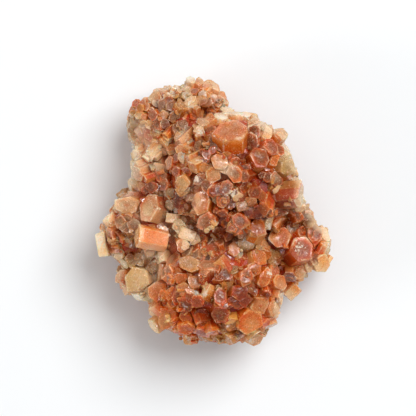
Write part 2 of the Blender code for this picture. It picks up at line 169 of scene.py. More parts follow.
def surface_height(x, y):
    """The lobe whose surface is highest at this plan position, and that height. Past a lobe's rim its flank counts."""
    best = None
    for lobe in LOBES:
        cx, cy, cz, rh, rv = lobe
        t = math.hypot(x - cx, y - cy) / rh
        if t < 0.97:
            z = cz + rv * math.sqrt(1.0 - t * t)
        else:
            z = cz + rv * 0.24 - (t - 0.97) * 3.0 * rv
        if best is None or z > best[0]:
            best = (z, lobe)
    return best


def in_other_lobe(p, own, share):
    for lobe in LOBES:
        if lobe is own:
            continue
        cx, cy, cz, rh, rv = lobe
        if ((p[0] - cx) / rh) ** 2 + ((p[1] - cy) / rh) ** 2 + ((p[2] - cz) / rv) ** 2 < share * share:
            return True
    return False


def drawn_in(x, y, cx, cy):
    """The plan position, moved towards cx, cy until it lies within the outline."""
    for k in range(40):
        if inside_outline(x, y):
            break
        x += (cx - x) * 0.03
        y += (cy - y) * 0.03
    return x, y


def fits(end, axis, r, turn, length):
    """Whether the prism stays within the outline, seen from above, at its end and further back."""
    return all(inside_outline(c.x, c.y) for d in (0.0, 0.35, 0.7) for c in ring(end, axis, r, turn, d * length))


def ring(end, axis, radius, turn, along=0.0):
    """The six corners of the prism, `along` steps behind its end."""
    side = axis.orthogonal().normalized()
    up = axis.cross(side).normalized()
    return [end - axis * along + side * (radius * math.cos(turn + k * math.pi / 3))
            + up * (radius * math.sin(turn + k * math.pi / 3)) for k in range(6)]


def place(x, y, r, up, kind, lean):
    """A crystal of the upper side: where its end stands, which way it points and how it is turned."""
    rng = random.Random(int(x * 977 + y * 131))
    z, lobe = surface_height(x, y)
    cx, cy, cz, rh, rv = lobe
    lies = rng.random()
    end = Vector((x, y, z + 1.25 * up + rng.uniform(-3.0, 2.0) + min(3.0, 0.35 * (r - 5.0))))
    r *= rng.uniform(1.04, 1.16)
    if lean:
        az, tilt = math.radians(lean[0]), math.radians(lean[1])
        axis = Vector((math.sin(tilt) * math.cos(az), -math.sin(tilt) * math.sin(az), math.cos(tilt)))
    elif lies < SHOWS_FLANK[kind]:      # leans far over, so that a flank looks up and its middle stands at x, y
        out = math.atan2(y - cy, x - cx) + rng.uniform(-1.3, 1.3)
        tilt = math.radians(rng.uniform(48, 74))
        axis = Vector((math.sin(tilt) * math.cos(out), math.sin(tilt) * math.sin(out), math.cos(tilt)))
        end = end + axis * (0.75 * r) - Vector((0, 0, 0.25 * r))
    else:
        axis = Vector(((x - cx) / rh, (y - cy) / rh, (z - cz) / rv + 0.22)).normalized()
        axis = (axis + Vector((rng.uniform(-1, 1), rng.uniform(-1, 1), rng.uniform(-1, 1))) * 0.42).normalized()
    turn = rng.uniform(0, math.pi / 3)
    if lean and lean[1] > 40:        # a crystal that lies over turns a flank upwards
        side = axis.orthogonal().normalized()
        turn = math.atan2(axis.cross(side).normalized().z, side.z) + math.pi / 6 + 0.3 * (turn - 0.5)
    for _ in range(30):     # a crystal of the rim is drawn in until it lies within the outline
        if fits(end, axis, r * 0.93, turn, 24.0):
            break
        end = end - Vector((end.x - cx, end.y - cy, 0)).normalized() * 0.6
    return end, axis, r, turn, 30.0


def filling_crystals(rng):
    """Crystals of the flanks and the underside, evenly spread over each lobe where no other lobe covers them."""
    out = []
    for lobe in LOBES:
        cx, cy, cz, rh, rv = lobe
        count = int(4 * math.pi * rh * rv / FILL_SPACING ** 2 * 1.05)
        for k in range(count):
            dz = 1 - 2 * (k + 0.5) / count
            az = k * math.pi * (3 - math.sqrt(5)) + 0.7 * rh
            flat = math.sqrt(1 - dz * dz)
            d = Vector((flat * math.cos(az), flat * math.sin(az), dz))
            d = (d + Vector((rng.uniform(-1, 1), rng.uniform(-1, 1), rng.uniform(-1, 1))) * 0.10).normalized()
            r = rng.uniform(*FILL_RADIUS)
            lift = rng.uniform(-3.0, 3.0)
            turn = rng.uniform(0, math.pi / 3)
            if d.z > 0.30:
                continue
            length = 1.0 / math.sqrt((d.x * d.x + d.y * d.y) / rh ** 2 + d.z * d.z / rv ** 2) + lift
            full = length
            while length > 0.45 * full:
                end = Vector((cx, cy, cz)) + d * length
                if fits(end, d, r, turn, 24.0) and all(c.z > FLOOR_GAP for c in ring(end, d, r, turn)):
                    break
                length -= 0.8
            else:
                continue
            if in_other_lobe(end, lobe, 0.97):
                continue
            if any((end - e).length < 0.78 * (r + r2) for e, _, r2, _, _ in out):
                continue
            if any(math.hypot(end.x - f[0], end.y - f[1]) < f[2] + 0.9 * r and end.z < 30 for f in FEET):
                continue
            out.append((end, d, r, turn, min(30.0, length - 3.0)))
    return out


# the crystals that are boxes: plan x, plan y, the direction of the long side in degrees from +X, width to length
BOXES = [(173, 218, -8, 0.68), (188, 234, -22, 0.72), (296, 290, 48, 0.85), (299, 204, 40, 0.6), (161, 255, 110, 0.6),
         (243, 206, 10, 0.8), (104, 244, 101, 0.45), (107, 216, 100, 0.6)]
# hollows, darkened with rust and painted shade, where small crystals don't fill in: plan x, plan y, reach
HOLLOWS = [(205, 312, 11), (246, 297, 10), (284, 205, 9), (287, 221, 7), (283, 262, 9), (250, 150, 5), (251, 176, 6), (243, 160, 6),
           (252, 211, 8), (232, 239, 7), (131, 250, 8), (149, 263, 5), (193, 204, 4), (184, 206, 7), (194, 227, 6), (206, 106, 8),
           (117, 234, 5), (236, 330, 6), (167, 128, 5), (171, 178, 5), (276, 197, 5), (224, 233, 6), (270, 232, 4), (162, 190, 5),
           (213, 192, 4), (264, 294, 5), (226, 308, 5), (192, 194, 4)]


# crystals of the rim that reach a little further out than the plain prisms: plan x, plan y, and how far in x and y
REACHES = {(296, 290): (4, 3), (322, 262): (3, 3), (104, 244): (-3.5, 1), (154, 325): (-2, 3), (270, 322): (1, 3), (136, 297): (0, 3),
           (325, 236): (0, -3), (311, 211): (2, -1.5), (305, 204): (1.5, -2), (280, 136): (0, -1.5)}
# finer crystals of the rim: plan x, plan y and height of the end, corner radius, tone, direction and lean in degrees
RIM_CRYSTALS = [(191, 80, 66, 6.2, "c", 95, 55), (199, 81.5, 68, 5.2, "p", 75, 50), (186, 84, 60, 4.2, "c", 120, 55),
                (136, 103, 58, 5.8, "o", 135, 52), (131.5, 109.5, 50, 5.2, "p", 155, 60), (129, 118, 47, 4.6, "p", 170, 60),
                (128.5, 126, 52, 5.2, "g", 178, 58), (131.5, 165, 54, 4.6, "c", 180, 58)]


def rim_crystals():
    out = []
    for x, y, z, r, tone, lean, tilt in RIM_CRYSTALS:
        az, tilt = math.radians(lean), math.radians(tilt)
        axis = Vector((math.sin(tilt) * math.cos(az), -math.sin(tilt) * math.sin(az), math.cos(tilt)))
        out.append((Vector((x, y, z)), axis, r, 0.1 * r, 22.0, tone))
    return out


def hand_crystals():
    out = []
    for row in CRYSTALS:
        x, y, r, up, tone = row[:5]
        end, axis, size, turn, length = place(x, y, r, up, tone, row[5:])
        end = end + Vector(REACHES.get((x, y), (0, 0)) + (0,))
        if r < 7.4 and len(row) == 5 and axis.z < 0.6 and rim_distance(x, y) > 12:      # between the lobes they stand steeper
            flat = Vector((axis.x, axis.y, 0.0)).normalized()
            axis = flat * 0.62 + Vector((0, 0, 0.785))
        out.append((end, axis, size, turn, length, tone))
    return out


def companions(crystals, rng):
    """Parallel growth: a large crystal is seldom alone. Others that share its direction stand half inside it, some
    nearly flush with its end and some a step lower, and some ends carry a lower plate of their own."""
    out = []
    for end, axis, r, turn, length, tone in crystals:
        if r < 4.8 or r > 10.9 or end.z == 0.0:
            continue
        side = axis.orthogonal().normalized()
        up = axis.cross(side).normalized()
        for _ in range(rng.choice((1, 2, 2, 3))):
            size = r * rng.uniform(0.45, 0.86)
            a = rng.uniform(0, 2 * math.pi)
            away = (r + size) * rng.uniform(0.50, 0.74)
            drop = r * (rng.uniform(0.02, 0.32) if rng.random() < 0.5 else rng.uniform(0.35, 1.1))
            at = end + (side * math.cos(a) + up * math.sin(a)) * away - axis * drop
            way = (axis + Vector((rng.uniform(-1, 1), rng.uniform(-1, 1), rng.uniform(-1, 1))) * 0.09).normalized()
            keep = fits(at, way, size, turn, 18.0) and all(c.z > FLOOR_GAP for c in ring(at, way, size, turn))
            other = tone if rng.random() < 0.80 else tone_for(at.x, at.y, rng, at.z)
            if keep:
                out.append((at, way, size, turn + rng.choice((0.0, 0.0, 0.5)), max(8.0, length - drop), other))
        if r > 7.5 and axis.z > 0 and rng.random() < 0.30:
            a = rng.uniform(0, 2 * math.pi)
            at = end + (side * math.cos(a) + up * math.sin(a)) * (0.22 * r) + axis * (0.07 * r)
            out.append((at, axis, r * rng.uniform(0.45, 0.66), turn, 10.0, tone))
    return out


def around_feet(rng):
    """Shorter crystals that stand close round each one that carries the cluster."""
    out = []
    for x, y, r, turn in FEET:
        first = rng.uniform(0, 2 * math.pi)
        for k in range(7):
            a = first + k * 2 * math.pi / 7 + rng.uniform(-0.25, 0.25)
            size = r * rng.uniform(0.42, 0.78)
            away = (r + size) * rng.uniform(0.66, 0.96)
            lean = 0.05 + 0.012 * away
            end = Vector((x + math.cos(a) * away, y + math.sin(a) * away, rng.uniform(3.0, 9.0) + 0.22 * away))
            axis = Vector((math.cos(a) * lean + rng.uniform(-0.1, 0.1), math.sin(a) * lean + rng.uniform(-0.1, 0.1), -1)).normalized()
            turn_k = rng.uniform(0, 1)
            if fits(end, axis, size, turn_k, 20.0) and all(c.z > 1.2 for c in ring(end, axis, size, turn_k)):
                out.append((end, axis, size, turn_k, 34.0, rng.choice("bbmoopt")))
    return out


def rim_distance(x, y):
    """How far a plan position is inside the outline, in steps."""
    best = 1e9
    for (x0, y0), (x1, y1) in zip(OUTLINE, OUTLINE[1:] + OUTLINE[:1]):
        dx, dy = x1 - x0, y1 - y0
        t = max(0.0, min(1.0, ((x - x0) * dx + (y - y0) * dy) / (dx * dx + dy * dy)))
        best = min(best, math.hypot(x - x0 - t * dx, y - y0 - t * dy))
    return best


def tone_for(x, y, rng, z=60.0):
    """The crystals are paler and clearer towards the rim; the paler tones there are partly painted light, for light
    through the thin rim.
    """
    near = rim_distance(x, y)
    if near < 14 and rng.random() < (0.75 - 0.03 * near if z > 42 else 0.25):
        return rng.choice("ppoccttopg")
    return rng.choice("oooobbbbmmptobbhgodp")


def small_crystals(rng, large):
    """The finer crystals between the large ones, on every side of each lobe."""
    out = []
    cells = {}

    def near(p, size):
        key = tuple(int(math.floor(c / 14.0)) for c in p)
        for i in (-1, 0, 1):
            for j in (-1, 0, 1):
                for k in (-1, 0, 1):
                    for q, s in cells.get((key[0] + i, key[1] + j, key[2] + k), ()):
                        if (p - q).length < 0.62 * (size + s):
                            return True
        return False

    def put(p, size):
        cells.setdefault(tuple(int(math.floor(c / 14.0)) for c in p), []).append((p, size))

    for end, axis, r, turn, length, tone in large:
        put(end, r)
    for spacing, radius, lift_range in ((15.0, (5.2, 9.4), (-5.0, 2.5)), (10.5, (3.0, 5.6), (-6.0, 1.0))):
        for lobe in LOBES:
            cx, cy, cz, rh, rv = lobe
            count = int(4 * math.pi * rh * rv / spacing ** 2)
            for k in range(count):
                dz = 1 - 2 * (k + 0.5) / count
                az = k * math.pi * (3 - math.sqrt(5)) + 0.31 * rh + spacing
                flat = math.sqrt(1 - dz * dz)
                d = Vector((flat * math.cos(az), flat * math.sin(az), dz))
                d = (d + Vector((rng.uniform(-1, 1), rng.uniform(-1, 1), rng.uniform(-1, 1))) * 0.16).normalized()
                r = rng.uniform(*radius)
                lift = rng.uniform(*lift_range)
                turn = rng.uniform(0, math.pi / 3)
                lean = Vector((rng.uniform(-1, 1), rng.uniform(-1, 1), rng.uniform(-1, 1))) * rng.choice((0.3, 0.3, 0.9))
                luck = rng.random()
                if d.z > 0.35:      # the listed crystals make the upper side; the fill stays behind them
                    lift -= 6.0
                    lean *= min(1.0, 2.6 / r)
                length = 1.0 / math.sqrt((d.x * d.x + d.y * d.y) / rh ** 2 + d.z * d.z / rv ** 2) + lift
                full = length
                axis = (d + lean).normalized()
                while length > 0.5 * full:
                    end = Vector((cx, cy, cz)) + d * length
                    if fits(end, axis, r, turn, 14.0) and all(c.z > FLOOR_GAP for c in ring(end, axis, r, turn)):
                        break
                    length -= 0.8
                else:
                    continue
                if in_other_lobe(end, lobe, 0.93):
                    continue
                root = end - axis * min(24.0, length - 3.0)
                if all(((root.x - q[0]) / q[3]) ** 2 + ((root.y - q[1]) / q[3]) ** 2 + ((root.z - q[2]) / q[4]) ** 2 > 0.85 for q in LOBES):
                    continue
                if any(math.hypot(end.x - f[0], end.y - f[1]) < f[2] + 0.8 * r and end.z < 26 for f in FEET):
                    continue
                if near(end, r) or (d.z > 0.2 and any(math.hypot(end.x - h[0], end.y - h[1]) < h[2] * 0.8 for h in HOLLOWS)):
                    continue
                put(end, r)
                out.append((end, axis, r, turn, min(24.0, length - 3.0), tone_for(end.x, end.y, random.Random(luck), end.z)))
    return out


# ---------------------------------------------------------------------------------------------------------------
# One crystal: an irregular hexagon with softened corners, grooves and steps along its sides and a flat end with
# shallow growth steps, a worn rim and now and then a chip
# ---------------------------------------------------------------------------------------------------------------
def outline_of_prism(rng, fine, size, size_of_all, boxy):
    """Points round the prism for a mean corner radius of size: x, y, the side that the point is on and its place
    along that side from 0 to 1. The corners are worn round."""
    corners = []
    pull = rng.uniform(0.0, math.pi)
    flat = rng.uniform(0.66, 1.0)
    luck = rng.random()
    if boxy:
        pull, flat = 0.0, 1.0
        half = math.degrees(math.atan(boxy))
        angles = [half, 180 - half, 180 + half, 360 - half]
    elif luck < 0.68 or size_of_all > 9.5:
        angles = [0, 60, 120, 180, 240, 300]
    elif luck < 0.82:          # one side has outgrown its neighbour
        angles = [0, 62, 118, 182, 270]
    elif luck < 0.88:          # a box
        angles = [20, 95, 200, 275]
    else:                      # twinned, with a notch
        angles = [0, 58, 90, 122, 180, 240, 300]
    for k, a in enumerate(angles):
        a = math.radians(a) + rng.uniform(-0.20, 0.20) * (0.3 if boxy else 1.0)
        q = rng.uniform(0.82, 1.10) if not boxy else rng.uniform(0.95, 1.04)
        if len(angles) == 7 and k == 2:
            q = rng.uniform(0.58, 0.72)
        x, y = q * math.cos(a), q * math.sin(a)
        c, s = math.cos(pull), math.sin(pull)
        u, v = x * c + y * s, (-x * s + y * c) * flat
        corners.append((u * c - v * s, u * s + v * c))
    count = len(corners)
    grow = size * count / sum(math.hypot(*q) for q in corners)
    corners = [(x * grow, y * grow) for x, y in corners]
    pts = []
    for k in range(count):
        (x0, y0), (x1, y1) = corners[k], corners[(k + 1) % count]
        k %= 6
        b = rng.uniform(0.06, 0.15)
        nx, ny = -(y1 - y0), (x1 - x0)
        ll = math.hypot(nx, ny)
        nx, ny = nx / ll, ny / ll
        if fine < 0:
            pts.append((x0, y0, k, 0.0))
            continue
        if fine > 1:
            stops = [(b * 0.45, 0.012), (b * 1.3, 0.0)]
        else:
            stops = [(b, 0.0)]
        middle = []
        if fine > 0 and rng.random() < 0.7 and size_of_all < 11.5:
            g = rng.uniform(0.35, 0.65)
            deep = rng.uniform(-0.02, 0.05)
            middle = [(g - 0.10, 0.0), (g, deep), (g + 0.10, 0.0)] if fine > 1 else [(g, deep)]
        for t, deep in stops + middle + [(1 - t, deep) for t, deep in reversed(stops)]:
            pts.append((x0 + (x1 - x0) * t + nx * deep, y0 + (y1 - y0) * t + ny * deep, k, t))
    return pts


def crystal_geometry(end, axis, r, turn, length, seed):
    """Points, faces, for each face corner its place on the facet, and for each face the facet: 0 to 5 the flanks,
    6 the end. The place is (along the side, depth in radii) on a flank and (share of the way to the rim, 0) on an end."""
    rng = random.Random(seed)
    fine = 2 if r >= 9.0 else (1 if r >= 5.8 else (0 if r >= 4.2 else -1))
    if axis.z < 0.0:
        fine = 1 if r >= 10.0 else (0 if r >= 6.0 else -1)
    side = axis.orthogonal().normalized()
    up = axis.cross(side).normalized()
    boxy = 0.0
    for bx, by, way, wide in BOXES:
        if math.hypot(end.x - bx, end.y - by) < 4 and r > 5 and axis.z > 0.2:
            way = math.radians(way)
            turn = math.atan2(up.x * math.cos(way) - up.y * math.sin(way), side.x * math.cos(way) - side.y * math.sin(way))
            boxy = wide
    pts = outline_of_prism(rng, fine, min(1.08, max(0.95, 1.08 - 0.03 * (r - 5.0))), r, boxy)
    n = len(pts)
    ct, st = math.cos(turn), math.sin(turn)
    bevel = rng.uniform(0.04, 0.10)
    tx, ty = rng.uniform(-0.17, 0.17), rng.uniform(-0.17, 0.17)
    dome = rng.uniform(-0.04, 0.07)
    chip_at, chip = (rng.randrange(n), rng.uniform(0.12, 0.40)) if rng.random() < 0.65 else (0, 0.0)
    wave = Vector((rng.uniform(0, 50), rng.uniform(0, 50), rng.uniform(0, 50)))
    if fine == 2:
        caps = (0.22, 0.45, 0.66, 0.83, 1 - bevel)
    elif fine == 1:
        caps = (0.38, 0.72, 1 - bevel)
    else:
        caps = (1 - bevel,)
    rings = [(s, 0.0, "cap") for s in caps]      # scale, depth in radii, kind
    if fine == 2:
        rings.append((1 - bevel * 0.30, bevel * 0.30, "rim"))
    rings.append((1.0, bevel, "rim"))
    depth_end = length / r
    steps = ((), (1.2,), (0.8, 1.8), (0.5, 1.1, 1.9))[fine + 1]
    for d in steps:
        if d < depth_end * 0.8:
            rings.append((1.0 + rng.uniform(-0.03, 0.012), d, "side"))
    rings.append((0.9, depth_end, "root"))
    verts, faces, spots, facets = [], [], [], []

    def put(px, py, depth):
        u, v = px * ct - py * st, px * st + py * ct
        verts.append(end + (side * u + up * v) * r - axis * (depth * r))

    put(0, 0, -dome - 0.018 * noise.noise(wave))
    for s, depth, kind in rings:
        for k, (px, py, _, _) in enumerate(pts):
            x, y = px * s, py * s
            d = depth
            if kind in ("cap", "rim"):
                rr = math.hypot(x, y)
                d -= dome * max(0.0, 1 - rr * rr) + tx * x + ty * y
                if kind == "cap":
                    d -= 0.07 * noise.noise(wave + Vector((x * 1.7, y * 1.7, 0))) \
                        + 0.035 * noise.noise(wave + Vector((x * 5.1, y * 5.1, 7)))
                if chip:
                    dk = min((k - chip_at) % n, (chip_at - k) % n) / n
                    if dk < 0.13 and s > 0.6:
                        fall = (1 - dk / 0.13) * (s - 0.6) / 0.4
                        d += chip * fall
                        x *= 1 - 0.10 * fall
                        y *= 1 - 0.10 * fall
            elif kind == "side":
                w = 1 + 0.03 * noise.noise(wave + Vector((px * 2.0, py * 2.0, depth * 0.7)))
                x *= w
                y *= w
            put(x, y, d)
    for k in range(n):
        faces.append((0, 1 + k, 1 + (k + 1) % n))
        spots.append(((0.0, 0.0), (rings[0][0], 0.0), (rings[0][0], 0.0)))
        facets.append(6)
    for j in range(len(rings) - 1):
        a, b = 1 + j * n, 1 + (j + 1) * n
        flank = rings[j + 1][2] in ("side", "root")
        for k in range(n):
            k2 = (k + 1) % n
            faces.append((a + k, b + k, b + k2, a + k2))
            if flank:
                same = pts[k][2] == pts[k2][2]
                t1, t2 = (pts[k][3], pts[k2][3]) if same else (0.0, 1.0 if fine < 0 else 0.0)
                d1, d2 = rings[j][1], rings[j + 1][1]
                spots.append(((t1, d1), (t1, d2), (t2, d2), (t2, d1)))
                facets.append(pts[k][2])
            else:
                s1, s2 = rings[j][0], rings[j + 1][0]
                spots.append(((s1, 0.0), (s2, 0.0), (s2, 0.0), (s1, 0.0)))
                facets.append(6)
    last = 1 + (len(rings) - 1) * n
    faces.append(tuple(last + k for k in reversed(range(n))))
    spots.append(tuple((0.5, depth_end) for _ in range(n)))
    facets.append(0)
    return verts, faces, spots, facets


def well_inside(xy, cx, cy, margin):
    """The plan positions, each moved towards cx, cy until it lies that far within the outline."""
    a = np.array(OUTLINE, dtype=float)
    b = np.roll(a, -1, axis=0)
    ab = b - a
    for _ in range(45):
        ap = xy[:, None, :] - a[None]
        t = np.clip((ap * ab).sum(2) / (ab * ab).sum(1), 0, 1)
        near = np.sqrt(((ap - t[..., None] * ab) ** 2).sum(2)).min(1)
        above = (a[:, 1] > xy[:, None, 1]) != (b[:, 1] > xy[:, None, 1])
        with np.errstate(divide="ignore", invalid="ignore"):
            cross = a[:, 0] + (xy[:, None, 1] - a[:, 1]) * ab[:, 0] / ab[:, 1]
        inside = (above & (xy[:, None, 0] < cross)).sum(1) % 2 == 1
        move = ~inside | (near < margin)
        if not move.any():
            break
        xy[move] += (np.array((cx, cy)) - xy[move]) * 0.03
    return xy


def lobe_geometry(lobe, seed):
    cx, cy, cz, rh, rv = lobe
    bm = bmesh.new()
    bmesh.ops.create_icosphere(bm, subdivisions=4, radius=1.0)
    verts, faces = [], []
    bm.verts.ensure_lookup_table()
    for v in bm.verts:
        k = 0.90 + 0.04 * noise.noise(v.co * 4.0 + Vector((seed, 0, 0))) + 0.04 * noise.cell(v.co * 11.0 + Vector((seed, 3, 0)))
        verts.append(Vector((cx + v.co.x * rh * k, cy - v.co.y * rh * k, cz + v.co.z * rv * k)))
    plan = well_inside(np.array([(v.x, v.y) for v in verts]), cx, cy, 8.0)
    verts = [Vector((float(x), float(y), v.z)) for v, (x, y) in zip(verts, plan)]
    for f in bm.faces:
        faces.append(tuple(v.index for v in f.verts))
    bm.free()
    return verts, faces, [((0.5, 3.0),) * 3 for _ in faces], [k % 6 for k in range(len(faces))]


def mesh_object(name, verts, faces, spots, facets, ident, collection):
    """The faces are given as seen on the plan, whose y runs down, so they are turned round here."""
    me = bpy.data.meshes.new(name)
    me.from_pydata([to_world(*v) for v in verts], [], [f[::-1] for f in faces])
    me.update()
    uv = me.uv_layers.new(name="spot")
    uv.data.foreach_set("uv", [c for face in spots for spot in reversed(face) for c in spot])
    a = me.attributes.new("cid", "INT", "FACE")
    a.data.foreach_set("value", [ident] * len(faces))
    a = me.attributes.new("facet", "INT", "FACE")
    a.data.foreach_set("value", facets)
    ob = bpy.data.objects.new(name, me)
    collection.objects.link(ob)
    return ob


def druse(surface, crystals):
    """Tiny crystals that sit in small groups in the crevices, on the flanks and on the rims of the larger ones."""
    rng = random.Random(41)
    surface.calc_loop_triangles()
    spots = []
    rims = {}
    total = 0.0
    cid = [0] * len(surface.polygons)
    surface.attributes["cid"].data.foreach_get("value", cid)
    facet = [0] * len(surface.polygons)
    surface.attributes["facet"].data.foreach_get("value", facet)
    co = [(v.co.x / STEP + PLAN_X, PLAN_Y - v.co.y / STEP, v.co.z / STEP) for v in surface.vertices]
    for tri in surface.loop_triangles:
        k = tri.polygon_index
        n = tri.normal
        middle = [sum(co[v][i] for v in tri.vertices) / 3 for i in range(3)]
        if middle[2] < 12 or n.z < -0.35 or math.hypot(middle[0] - 152, middle[1] - 236) < 15:      # the orange box stays clean
            continue
        square = (int(middle[0] / 2), int(middle[1] / 2))
        if square not in rims:
            rims[square] = rim_distance(2 * square[0] + 1, 2 * square[1] + 1)
        if rims[square] < 3:
            continue
        weight = tri.area / STEP ** 2
        if facet[k] == 6 and cid[k] < len(crystals) and crystals[cid[k]][2] > 6.5:
            weight *= 0.16
        weight *= 1.0 if n.z > 0.2 else 0.5
        total += weight
        spots.append((total, tri.index))
    out = []
    tris = surface.loop_triangles
    starts = [a for a, _ in spots]
    for _ in range(220):
        tri = tris[spots[min(len(spots) - 1, bisect.bisect_left(starts, rng.random() * total))][1]]
        a, b = rng.random(), rng.random()
        if a + b > 1:
            a, b = 1 - a, 1 - b
        p0, p1, p2 = (Vector(co[v]) for v in tri.vertices)
        p = p0 + (p1 - p0) * a + (p2 - p0) * b
        n = Vector((tri.normal.x, -tri.normal.y, tri.normal.z))
        tone = tone_for(p.x, p.y, rng) if rng.random() < 0.45 else rng.choice("ccppgto")
        lean = Vector((rng.uniform(-1, 1), rng.uniform(-1, 1), rng.uniform(-0.4, 1))) * 0.7
        side = n.orthogonal().normalized()
        up = n.cross(side).normalized()
        for _ in range(rng.choice((1, 2, 3, 4))):
            r = rng.uniform(1.3, 3.0)
            q = p + side * rng.gauss(0, 2.2) + up * rng.gauss(0, 2.2)
            axis = (n + lean + Vector((rng.uniform(-1, 1), rng.uniform(-1, 1), rng.uniform(-1, 1))) * 0.35).normalized()
            end = q + axis * (r * rng.uniform(0.15, 1.1))
            if not inside_outline(end.x, end.y) or end.z < 8:
                continue
            out.append((end, axis, r, rng.uniform(0, 1), 3.0 * r, tone))
    verts, faces, spot, facets, owner = [], [], [], [], []
    for k, (end, axis, r, turn, length, tone) in enumerate(out):
        v, f, s, c = crystal_geometry(end, axis, r, turn, length, 90000 + k)
        first = len(verts)
        verts += v
        faces += [tuple(first + i for i in face) for face in f]
        spot += s
        facets += c
        owner += [k] * len(f)
    keep = bpy.data.collections.new("keep")
    ob = mesh_object("fine_growth", verts, faces, spot, facets, 0, keep)
    me = ob.data
    me.attributes["cid"].data.foreach_set("value", owner)
    bpy.data.objects.remove(ob, do_unlink=True)
    bpy.data.collections.remove(keep)
    return me, out


def grow_cluster():
    """All crystals, joined into one closed mesh. Each face keeps the number of its crystal."""
    large = hand_crystals()
    rng = random.Random(11)
    tone_rng = random.Random(5)
    for end, axis, r, turn, length in filling_crystals(rng):
        if math.hypot(end.x - 105, end.y - 262) < 9:      # hidden by the white box above it
            continue
        large.append((end, axis, r, turn, length, tone_for(end.x, end.y, tone_rng, end.z)))
    for x, y, r, turn in FEET:
        large.append((Vector((x, y, 0.0)), Vector((0, 0, -1)), r, math.radians(turn), 42.0, "b"))
    large += companions(large, random.Random(31)) + around_feet(random.Random(8))
    crystals = large + small_crystals(random.Random(23), large) + rim_crystals()

    growth = bpy.data.collections.new("growth")
    bpy.context.scene.collection.children.link(growth)
    helpers = []
    for k, (end, axis, r, turn, length, tone) in enumerate(crystals):
        verts, faces, spots, facets = crystal_geometry(end, axis, r, turn, length, 1000 + k)
        if end.z == 0.0:       # the ends that the cluster rests on stay level
            verts = [Vector((v.x, v.y, max(v.z, 0.0))) for v in verts]
        helpers.append(mesh_object("grain_%03d" % k, verts, faces, spots, facets, k, growth))
    for k, lobe in enumerate(LOBES):
        verts, faces, spots, facets = lobe_geometry(lobe, 3.7 * k)
        helpers.append(mesh_object("heart_%d" % k, verts, [f[::-1] for f in faces], spots, facets, len(crystals) + k, growth))
    seed = helpers.pop()
    growth.objects.unlink(seed)
    bpy.context.scene.collection.objects.link(seed)
    union = seed.modifiers.new("grown_together", "BOOLEAN")
    union.operation = "UNION"
    union.solver = "MANIFOLD"
    union.operand_type = "COLLECTION"
    union.collection = growth
    depsgraph = bpy.context.evaluated_depsgraph_get()
    mesh = bpy.data.meshes.new_from_object(seed.evaluated_get(depsgraph))
    mesh.name = "aragonite"
    for ob in helpers + [seed]:
        me = ob.data
        bpy.data.objects.remove(ob, do_unlink=True)
        bpy.data.meshes.remove(me)
    bpy.data.collections.remove(growth)
    keep_outer_shell(mesh)
    return mesh, crystals


def keep_outer_shell(mesh):
    """Keeps the largest connected shell, so that pockets closed off between crystals are solid."""
    bm = bmesh.new()
    bm.from_mesh(mesh)
    seen, shells = set(), []
    for face in bm.faces:
        if face in seen:
            continue
        stack, shell = [face], []
        seen.add(face)
        while stack:
            f = stack.pop()
            shell.append(f)
            for e in f.edges:
                for g in e.link_faces:
                    if g not in seen:
                        seen.add(g)
                        stack.append(g)
        shells.append(shell)
    shells.sort(key=len, reverse=True)
    drop = [f for shell in shells[1:] for f in shell]
    if drop:
        bmesh.ops.delete(bm, geom=drop, context="FACES")
    bm.to_mesh(mesh)
    bm.free()


# ---------------------------------------------------------------------------------------------------------------
# Tones. For each: middle of the end, rim of the end, flank near the end, flank deep down, clearness. The two flank
# tones also colour the painted glow and the painted shade
# ---------------------------------------------------------------------------------------------------------------
TONES = {
    "o": ((209, 120, 66), (245, 182, 122), (241, 127, 33), (218, 75, 7), 0.10),
    "b": ((154, 80, 52), (219, 139, 90), (223, 97, 22), (188, 51, 3), 0.05),
    "m": ((131, 77, 61), (196, 131, 97), (205, 89, 24), (164, 42, 3), 0.05),
    "p": ((224, 161, 124), (246, 207, 172), (240, 146, 66), (220, 95, 19), 0.15),
    "t": ((201, 152, 114), (239, 203, 165), (231, 151, 74), (204, 104, 31), 0.14),
    "w": ((246, 207, 182), (250, 229, 213), (248, 200, 160), (241, 152, 86), 0.05),
    "y": ((222, 190, 146), (246, 226, 192), (230, 180, 116), (206, 138, 66), 0.18),
    "r": ((213, 169, 137), (237, 195, 152), (214, 84, 16), (150, 34, 2), 0.10),
    "s": ((255, 204, 162), (255, 232, 199), (255, 156, 77), (244, 124, 52), 0.10),
    "c": ((247, 209, 183), (251, 231, 216), (248, 200, 155), (242, 151, 82), 0.07),
    "g": ((211, 171, 136), (238, 213, 183), (227, 162, 99), (203, 119, 52), 0.26),
    "d": ((98, 34, 8), (134, 58, 22), (142, 41, 3), (112, 20, 1), 0.05),
    "v": ((152, 106, 90), (206, 160, 134), (190, 112, 68), (146, 62, 24), 0.14),
    "h": ((161, 99, 79), (255, 203, 157), (249, 120, 38), (207, 65, 7), 0.05),
}
ALBEDO_GAIN = 0.95
